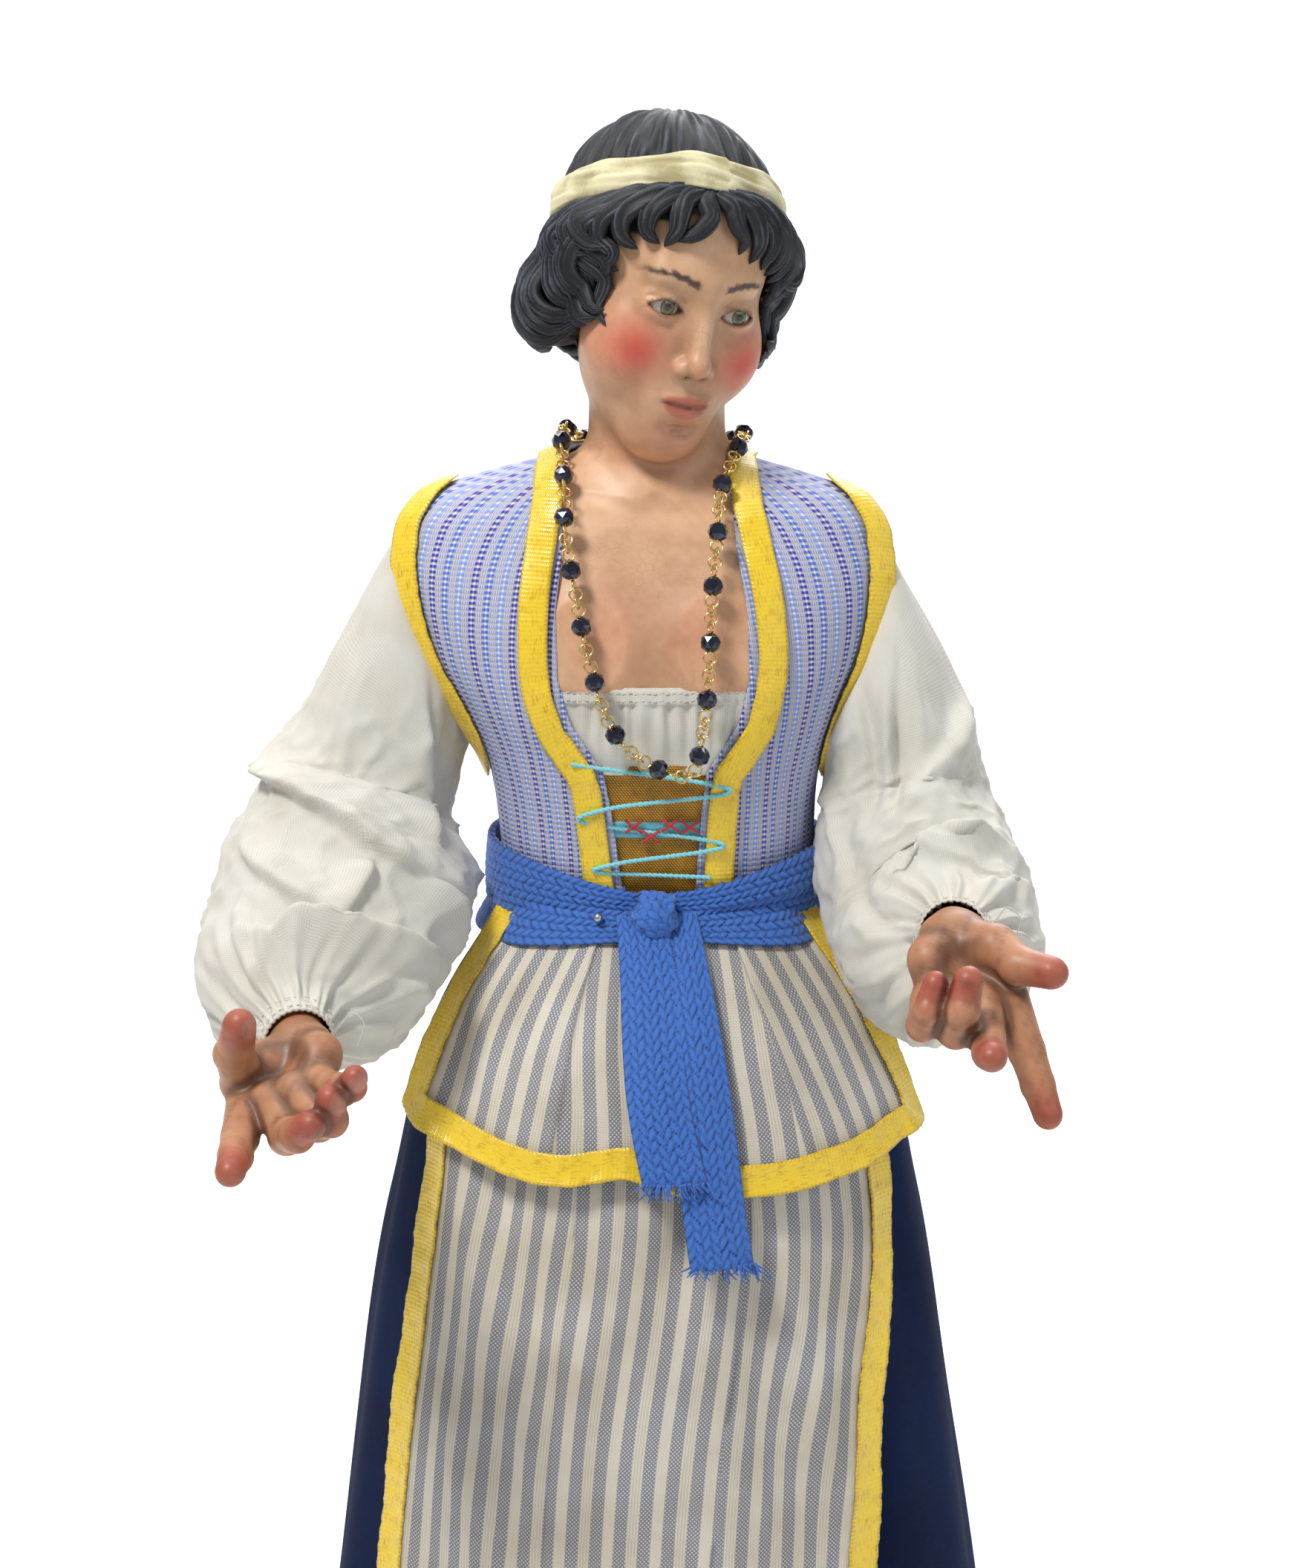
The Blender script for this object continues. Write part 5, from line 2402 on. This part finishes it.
# The locks over the brow on her right of the parting, and on her left of it.
BROW_LOCKS = (
    Lock(
        ((-0.15, 0.34, 0), (-0.2, 0.24, 1.0), (-0.17, 0.12, 1.7), (-0.27, 0.0, 1.4), (-0.44, -0.05, 0.4)),
        2.2, 1.9,
    ),
    Lock(
        ((-0.22, 0.34, 0), (-0.36, 0.25, 1.2), (-0.4, 0.13, 1.8), (-0.42, 0.01, 1.2), (-0.52, -0.1, 0.2)),
        2.4, 1.9, 5,
    ),
    Lock(
        ((-0.3, 0.35, 0), (-0.52, 0.25, 1.4), (-0.64, 0.13, 2.0), (-0.66, 0.0, 1.4), (-0.56, -0.08, 0.3)),
        2.6, 2.0, 5,
    ),
    Lock(
        (
            (-0.38, 0.33, 0), (-0.68, 0.24, 1.6), (-0.86, 0.12, 2.3), (-0.88, -0.02, 1.6),
            (-0.76, -0.12, 0.3),
        ),
        2.8, 2.1, 6,
    ),
    Lock(
        ((-0.55, 0.32, 0), (-0.86, 0.23, 1.8), (-1.05, 0.1, 2.6), (-1.08, -0.05, 1.9), (-0.96, -0.14, 0.4)),
        2.8, 2.2, 5,
    ),
    Lock(
        ((-0.7, 0.3, 0), (-1.0, 0.2, 1.8), (-1.2, 0.06, 2.6), (-1.2, -0.1, 1.8), (-1.06, -0.2, 0.4)), 2.7,
        2.2, 5,
    ),
    Lock(
        ((-0.11, 0.34, 0), (0.02, 0.24, 1.1), (0.06, 0.12, 1.6), (0.17, 0.02, 1.2), (0.16, -0.09, 0.2)),
        2.2, 1.8,
    ),
    Lock(
        ((-0.06, 0.35, 0), (0.16, 0.26, 1.4), (0.26, 0.14, 2.0), (0.34, 0.0, 1.4), (0.31, -0.13, 0.2)), 2.6,
        2.0, 5,
    ),
    Lock(
        ((0.02, 0.35, 0), (0.3, 0.26, 1.6), (0.46, 0.14, 2.2), (0.52, 0.0, 1.5), (0.5, -0.14, 0.2)), 2.7,
        2.1, 5,
    ),
    Lock(
        ((0.12, 0.34, 0), (0.46, 0.26, 1.6), (0.66, 0.13, 2.4), (0.7, -0.02, 1.6), (0.66, -0.15, 0.2)), 2.8,
        2.1, 6,
    ),
    Lock(
        ((0.3, 0.33, 0), (0.64, 0.24, 1.7), (0.84, 0.1, 2.5), (0.88, -0.05, 1.7), (0.84, -0.17, 0.3)), 2.8,
        2.1, 5,
    ),
    Lock(
        ((0.5, 0.32, 0), (0.84, 0.22, 1.8), (1.03, 0.07, 2.6), (1.05, -0.09, 1.8), (0.97, -0.22, 0.3)), 2.7,
        2.1, 5,
    ),
)


@dataclass(frozen=True)
class Hair:
    """Modelled black hair, combed back under the band, with short wavy locks round the face."""

    head: Head
    columns: int = 260
    rows: int = 66

    def cap(self) -> Shape:
        """The close hair from the nape to the crown, with combed grooves."""
        head = self.head
        slope = np.linspace(-1.2, 1.54, self.rows)[:, None]
        around = turns(self.columns)[None, :]
        ring = stacked(np.cos(around), np.sin(around), slope) * HEAD_ROUND
        bend = waver(ring, 61, 30, 4)
        ridges = np.cos(34 * around + 3.4 * bend) + 0.6 * np.cos(57 * around - 2.2 * bend)
        spread = step(np.cos(slope), 0.03, 0.4)
        lift = 0.34 * ridges * spread + 0.5 * waver(ring, 63, 16, 4) * spread
        face = step(np.cos(around), 0.3, 0.55) * step(slope, head.rise, head.rise - 0.1)
        points = head.posed(self.over(around, slope, lift - 5 * face))
        count = self.rows * self.columns
        faces = quads(self.rows, self.columns, 0, False, True)
        faces.append(tuple(range(self.columns - 1, -1, -1)))
        faces.append(tuple(range(count - self.columns, count)))
        rise = np.clip(0.42 + 0.3 * ridges * spread, 0, 1)
        lay = stacked(around * HEAD_ROUND, slope * HEAD_ROUND, 0.0)
        return Shape(points.reshape(-1, 3), faces, {"rise": rise.reshape(-1), "lay": lay.reshape(-1, 3)})

    def over(self, around: Array, slope: Array, out: Array) -> Array:
        """Points over the hair's mass alone, in the head's own frame."""
        head = self.head
        away = head.surface(around, slope, 0.0) - np.array(head.middle)
        way = unit(away)
        reach = np.linalg.norm(away, axis=-1)
        for _ in range(12):
            reach = reach - head.hair(way * reach[..., None] + head.middle)
        return way * (reach + out)[..., None] + head.middle

    def lock(self, lock: Lock, seed: int) -> Shape:
        """One tapered lock with strands along it.

        Args:
            lock: where it goes and how big it is.
            seed: how its strands lie.

        Returns:
            The lock, in the figure's frame.
        """
        rng = np.random.default_rng(seed)
        head = self.head
        scale = [HEAD_ROUND, HEAD_ROUND, 1]
        k = smooth_line(np.array(lock.knots) * scale, 20) / scale
        line = head.surface(k[:, 0], k[:, 1], k[:, 2])
        ahead = unit(ahead_of(line))
        across = unit(np.cross(ahead, unit(line - np.array(head.middle))))
        up = np.cross(across, ahead)
        sides = 24
        angle = np.arange(sides)[None, :] * FULL_TURN / sides
        t = np.linspace(0, 1, len(line))[:, None]
        taper = (0.6 + 0.4 * step(t, 0, 0.25)) * np.clip(1 - t**3.2, 0, 1) ** 0.8 + 0.04
        place = np.cos(angle)
        strands = np.cos(lock.strands * math.pi * place + rng.uniform(0, 6) + t * rng.uniform(-1.6, 1.6))
        top = step(np.sin(angle), -0.2, 0.3)
        lift = np.sin(angle) * (1 + 0.22 * strands * top)
        ring = across[:, None] * (place * taper)[..., None] * lock.width
        ring = ring + up[:, None] * (lift * taper)[..., None] * lock.height
        points = head.posed((line[:, None] + ring).reshape(-1, 3))
        faces = quads(len(line), sides, 0, True, True)
        last = (len(line) - 1) * sides
        faces.append(tuple(range(sides)))
        faces.append(tuple(range(last + sides - 1, last - 1, -1)))
        rise = np.clip(0.4 + 0.42 * strands * top + 0.18 * np.sin(angle), 0, 1)
        lay = stacked(place * lock.width, t * 22, 0.0)
        return Shape(points, faces, {"rise": rise.reshape(-1), "lay": lay.reshape(-1, 3)})

    def side_locks(self, side: int) -> list[Lock]:
        """The curls over an ear, the locks before it and those behind it.

        Args:
            side: -1 for her right, 1 for her left.

        Returns:
            The locks.
        """
        rng = np.random.default_rng(30 + side)
        found = []
        for k in range(7):
            a, low = 1.08 + 0.13 * k, 0.02 - 0.035 * k
            knots = [
                (a - 0.3, 0.3, 0), (a - 0.05, 0.22 - 0.02 * k, 2.2), (a + 0.16, 0.1 - 0.03 * k, 3.6),
                (a + 0.1, low - 0.08, 3.2), (a - 0.08, low - 0.12, 1.6),
            ]
            found.append((knots, 2.6, 2.0))
        for k in range(8):
            a, top = 1.2 + 0.13 * k, 0.1 - 0.04 * (k % 2)
            knots = [
                (a - 0.1, top, 1.0), (a + 0.14, top - 0.16, 2.8), (a + 0.2, top - 0.38, 3.8),
                (a + 0.06, -0.56 - 0.03 * (k % 3), 3.0), (a - 0.1, -0.6 - 0.04 * (k % 3), 1.4),
            ]
            found.append((knots, 2.7, 2.0))
        for k, (a, low) in enumerate(((1.02, -0.3), (1.1, -0.46), (1.18, -0.72), (1.3, -0.62))):
            knots = [
                (a - 0.02, 0.14 - 0.05 * k, 0.8), (a + 0.1, 0.0 - 0.06 * k, 1.5), (a - 0.02, low * 0.5, 1.5),
                (a + 0.08, low * 0.8, 1.1), (a - 0.02, low, 0.2),
            ]
            found.append((knots, 1.9, 1.5))
        for k in range(9):
            a = 1.9 + 0.15 * k
            knots = [
                (a, 0.3, 0), (a + 0.07, 0.08, 1.0), (a - 0.03, -0.22, 1.3), (a + 0.09, -0.5, 1.1),
                (a + 0.02, -0.74 - 0.05 * (k % 2), 0.2),
            ]
            found.append((knots, 2.8, 1.5))
        locks = []
        for knots, width, height in found:
            shaken = [(side * (a + rng.uniform(-0.03, 0.03)), slope, out) for a, slope, out in knots]
            locks.append(Lock(tuple(shaken), width, height, int(rng.integers(4, 6))))
        return locks

    def build(self) -> Thing:
        """Makes the hair.

        Returns:
            The hair, as one piece.
        """
        locks = [*BROW_LOCKS, *self.side_locks(-1), *self.side_locks(1)]
        shapes = [self.lock(lock, 100 + number) for number, lock in enumerate(locks)]
        return gather([self.cap(), *shapes]).piece("hair_clay", Finishes.locks, "painted_terracotta")


# The necklace.


@dataclass(frozen=True)
class Necklace:
    """Cut glass beads on gilt wire, linked by small rings."""

    beads: int = 21
    diameter: float = 4.2
    length: float = 3.6
    wire: float = 0.24
    knots: tuple[Triple, ...] = (
        (-14, 12, 318), (-17.5, 0, 319.5), (-18.4, -17, 314), (-18, -25.5, 305), (-16, -29, 294),
        (-13.2, -31.6, 281), (-8.2, -32.4, 267), (-1, -32.6, 260.5), (6.6, -32.5, 258.5), (8.6, -32.2, 266),
        (10, -31.2, 279), (10.6, -28.6, 293), (11.8, -25, 304), (12.8, -18, 313.5), (15.4, -9, 318),
        (16.5, 0, 319.5), (14, 12, 318), (0, 18, 318),
    )

    def line(self) -> Array:
        """The line that it follows."""
        p = np.array(self.knots, float) + [0, 0, FIGURE_Z]
        at, out = TORSO.settle(p)
        clear = at + out * (self.diameter / 2 + 2.0)
        neck = np.hypot(p[:, 0], p[:, 1] - 2) < 10
        out_of = (TORSO.outside(p) < TORSO.outside(clear)) | neck
        return smooth_line(np.where(out_of[:, None], clear, p), 1600, loop=True)

    def bead(self, middle: Array, way: Array, spin: float) -> Shape:
        """One bead, cut in flat faces."""
        r, half = self.diameter / 2, self.length / 2
        rings = ((0.42, -1), (0.86, -0.62), (1.0, 0), (0.86, 0.62), (0.42, 1))
        u = unit(np.cross(way, [0.2, 0.5, 0.84]))
        v = np.cross(way, u)
        sides = 8
        rows = []
        for k, (wide, place) in enumerate(rings):
            angle = (np.arange(sides) + 0.5 * (k % 2)) * FULL_TURN / sides + spin
            ring = u * np.cos(angle)[:, None] + v * np.sin(angle)[:, None]
            rows.append(middle + way * half * place + ring * r * wide)
        points = np.vstack(rows)
        faces = []
        for k in range(len(rings) - 1):
            for j in range(sides):
                a, b = k * sides + j, k * sides + (j + 1) % sides
                c, d = a + sides, b + sides
                faces += [(a, d, c), (a, b, d)] if k % 2 else [(a, b, c), (b, d, c)]
        faces.append(tuple(range(sides - 1, -1, -1)))
        faces.append(tuple(range(4 * sides, 5 * sides)))
        return Shape(points, faces)

    def ring(self, middle: Array, across: Array, ahead: Array, radius: float) -> Shape:
        """One small wire ring."""
        angle = turns(16)[:, None]
        line = middle + (ahead * np.cos(angle) + across * np.sin(angle)) * radius
        return tube(line, self.wire, 6, loop=True)

    def build(self) -> list[Thing]:
        """Makes the necklace.

        Returns:
            The wire and each bead.
        """
        line = self.line()
        ahead = unit(ahead_of(line, loop=True))
        total = np.linalg.norm(line[1] - line[0]) * len(line)
        gap = total / self.beads
        reach = self.length / 2 + 0.5  # of the wire through a bead
        free = gap - 2 * reach
        count = max(3, round(free / 1.55))
        made, wires = [], []
        rng = np.random.default_rng(8)
        for i in range(self.beads):
            k = int(i * len(line) / self.beads)
            name = f"necklace_bead_{i + 1:02d}"
            shape = self.bead(line[k], ahead[k], rng.uniform(0, 1))
            piece = shape.piece(f"{name}_glass", Finishes.jet, "jet_glass", flat=True)
            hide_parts(name)
            made.append(piece)
            wires.append(tube(line[k] + np.outer([-reach, 0, reach], ahead[k]), self.wire, 6))
            for j in range(count):
                share = (reach + free * (j + 0.5) / count) / gap
                m = int((i + share) * len(line) / self.beads) % len(line)
                side = unit(np.cross(ahead[m], [0.1, -0.9, 0.3]))
                across = side if j % 2 else unit(np.cross(side, ahead[m]) + 0.3 * side)
                wires.append(self.ring(line[m], across, ahead[m], 0.5 * free / count + 0.42))
        piece = gather(wires).piece("necklace_wire_gilt", Finishes.gilt, "gilt_wire")
        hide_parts("necklace_wire")
        return [piece, *made]


# The stand and the studio.


@dataclass(frozen=True)
class Legs:
    """The painted clay legs and shoes."""

    toes_out: float = 0.16
    grain: float = 1.5

    def form(self, p: Array) -> Array:
        """Distances to a leg, with her toes towards -Y."""
        leg = rod(p, (0, 3, 4), (0, 3, 30), 5.4, 5.9)  # ankle, then calf and knee
        leg = join(leg, rod(p, (0, 3, 30), (0, 5, 66), 5.9, 9.6), 4)
        leg = join(leg, rod(p, (0, 4.5, 66), (0, 3, 112), 9.6, 9), 4)
        shoe = join(
            rod(p, (0, 9, 6.5), (0, -8, 6), 6.4, 7), rod(p, (0, -8, 4.6), (0, -27, 3.6), 7.6, 6.6), 5,
        )
        shoe = np.maximum(shoe, -p[..., 2])
        return np.maximum(join(leg, shoe, 3), p[..., 2] - 105.5)

    def build(self) -> list[Thing]:
        """Makes both legs.

        Returns:
            Both pieces.
        """
        made = []
        for side, name in ((-1, "leg_right"), (1, "leg_left")):
            shape = model(self.form, (-11, -36, -1.5), (11, 18, 108), self.grain)
            turn = side * self.toes_out
            spin = np.array(Matrix.Rotation(-turn, 3, "Z"))
            shod = step(shape.points[:, 2] + 0.35 * np.abs(shape.points[:, 1]), 15.5, 14.5)
            shape.values["paint"] = washed(rgb("#ded6c4"), "#3a2417", shod)
            shape.points = shape.points @ spin + [side * 16, 0, FIGURE_Z]
            piece = shape.piece(f"{name}_clay", Finishes.skin, "painted_legs")
            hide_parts(name)
            made.append(piece)
        return made


@dataclass(frozen=True)
class Studio:
    """The camera, the lights and the sheet behind the figure."""

    camera_at: Triple = (-0.0025, -0.520, 0.3726)
    camera_tilt: float = 78.0
    lens: float = 57.97
    sensor: float = 36.0

    def build(self) -> None:
        """Sets up the camera, the lights and the sheet."""
        scene = bpy.context.scene
        data = bpy.data.cameras.new("camera")
        data.sensor_fit = "VERTICAL"
        data.sensor_height = data.sensor_width = self.sensor
        data.lens = self.lens
        data.clip_start = 0.01
        camera = bpy.data.objects.new("camera", data)
        camera.location = self.camera_at
        camera.rotation_euler = (math.radians(self.camera_tilt), 0, 0)
        scene.collection.objects.link(camera)
        scene.camera = camera
        world = bpy.data.worlds.new("studio")
        world.use_nodes = True
        sky = world.node_tree.nodes["Background"]
        sky.inputs["Color"].default_value = (0.95, 0.97, 1.0, 1)
        sky.inputs["Strength"].default_value = 0.32
        scene.view_settings.view_transform = "Standard"
        scene.world = world
        self.lamp("key", (-0.36, -0.45, 1.05), 0.2, 7.6, (1.0, 0.97, 0.93))
        self.lamp("fill", (0.75, -0.55, 0.55), 0.6, 1.3, (0.93, 0.96, 1.0))
        self.lamp("rim", (0.25, 0.7, 0.8), 0.4, 3.0, (1.0, 1.0, 1.0))
        self.lamp("backdrop", (0.0, 0.4, 1.3), 1.2, 26.0, (1.0, 1.0, 1.0), (0.0, 1.7, 0.5))
        self.sheet()

    def lamp(
        self, name: str, at: Triple, size: float, power: float, tone: Triple, aim: Triple = (0.0, 0.0, 0.27),
    ) -> None:
        """Adds one soft lamp.

        Args:
            name: its name.
            at: its place in metres.
            size: its side in metres.
            power: its power in watts.
            tone: its linear red, green and blue.
            aim: what it faces, in metres.
        """
        data = bpy.data.lights.new(name, "AREA")
        data.size = size
        data.energy = power
        data.color = tone
        lamp = bpy.data.objects.new(name, data)
        lamp.location = at
        lamp.rotation_euler = (Vector(aim) - Vector(at)).to_track_quat("-Z", "Y").to_euler()
        bpy.context.scene.collection.objects.link(lamp)

    def sheet(self) -> None:
        """Adds the floor, which curves up behind."""
        bend = np.linspace(0, math.pi / 2, 18)
        bent = [(1.1 + 0.6 * math.sin(a), 0.6 - 0.6 * math.cos(a)) for a in bend]
        curve = [(-3.0, 0.0), *bent, (1.7, 3.2)]
        points = [(x, y, z) for y, z in curve for x in (-3.0, 3.0)]
        faces = [(2 * i, 2 * i + 1, 2 * i + 3, 2 * i + 2) for i in range(len(curve) - 1)]
        mesh = bpy.data.meshes.new("studio_sheet")
        mesh.from_pydata(points, [], faces)
        mesh.polygons.foreach_set("use_smooth", [True] * len(mesh.polygons))
        mesh.materials.append(Finishes.sheet.material())
        thing = bpy.data.objects.new("studio_sheet", mesh)
        bpy.context.scene.collection.objects.link(thing)


def main() -> None:
    logging.basicConfig(level=logging.INFO, format="%(message)s")
    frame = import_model()
    arms = [Sleeve(Side.RIGHT), Sleeve(Side.LEFT), Hand(Side.RIGHT), Hand(Side.LEFT)]
    parts = [Skirt(), LONG_APRON, SHORT_APRON, Bodice(), Sash(), *arms, Head(), Necklace(), Legs()]
    for part in parts:
        for piece in part.build():
            log.info("%s: %d faces", piece.name, len(piece.data.polygons))
    frame["nodes"]["base"].material_slots[0].material = Finishes.wood.material()
    log.info("base: stained")
    Studio().build()
    log.info("studio: lit")


if __name__ == "__main__":
    main()
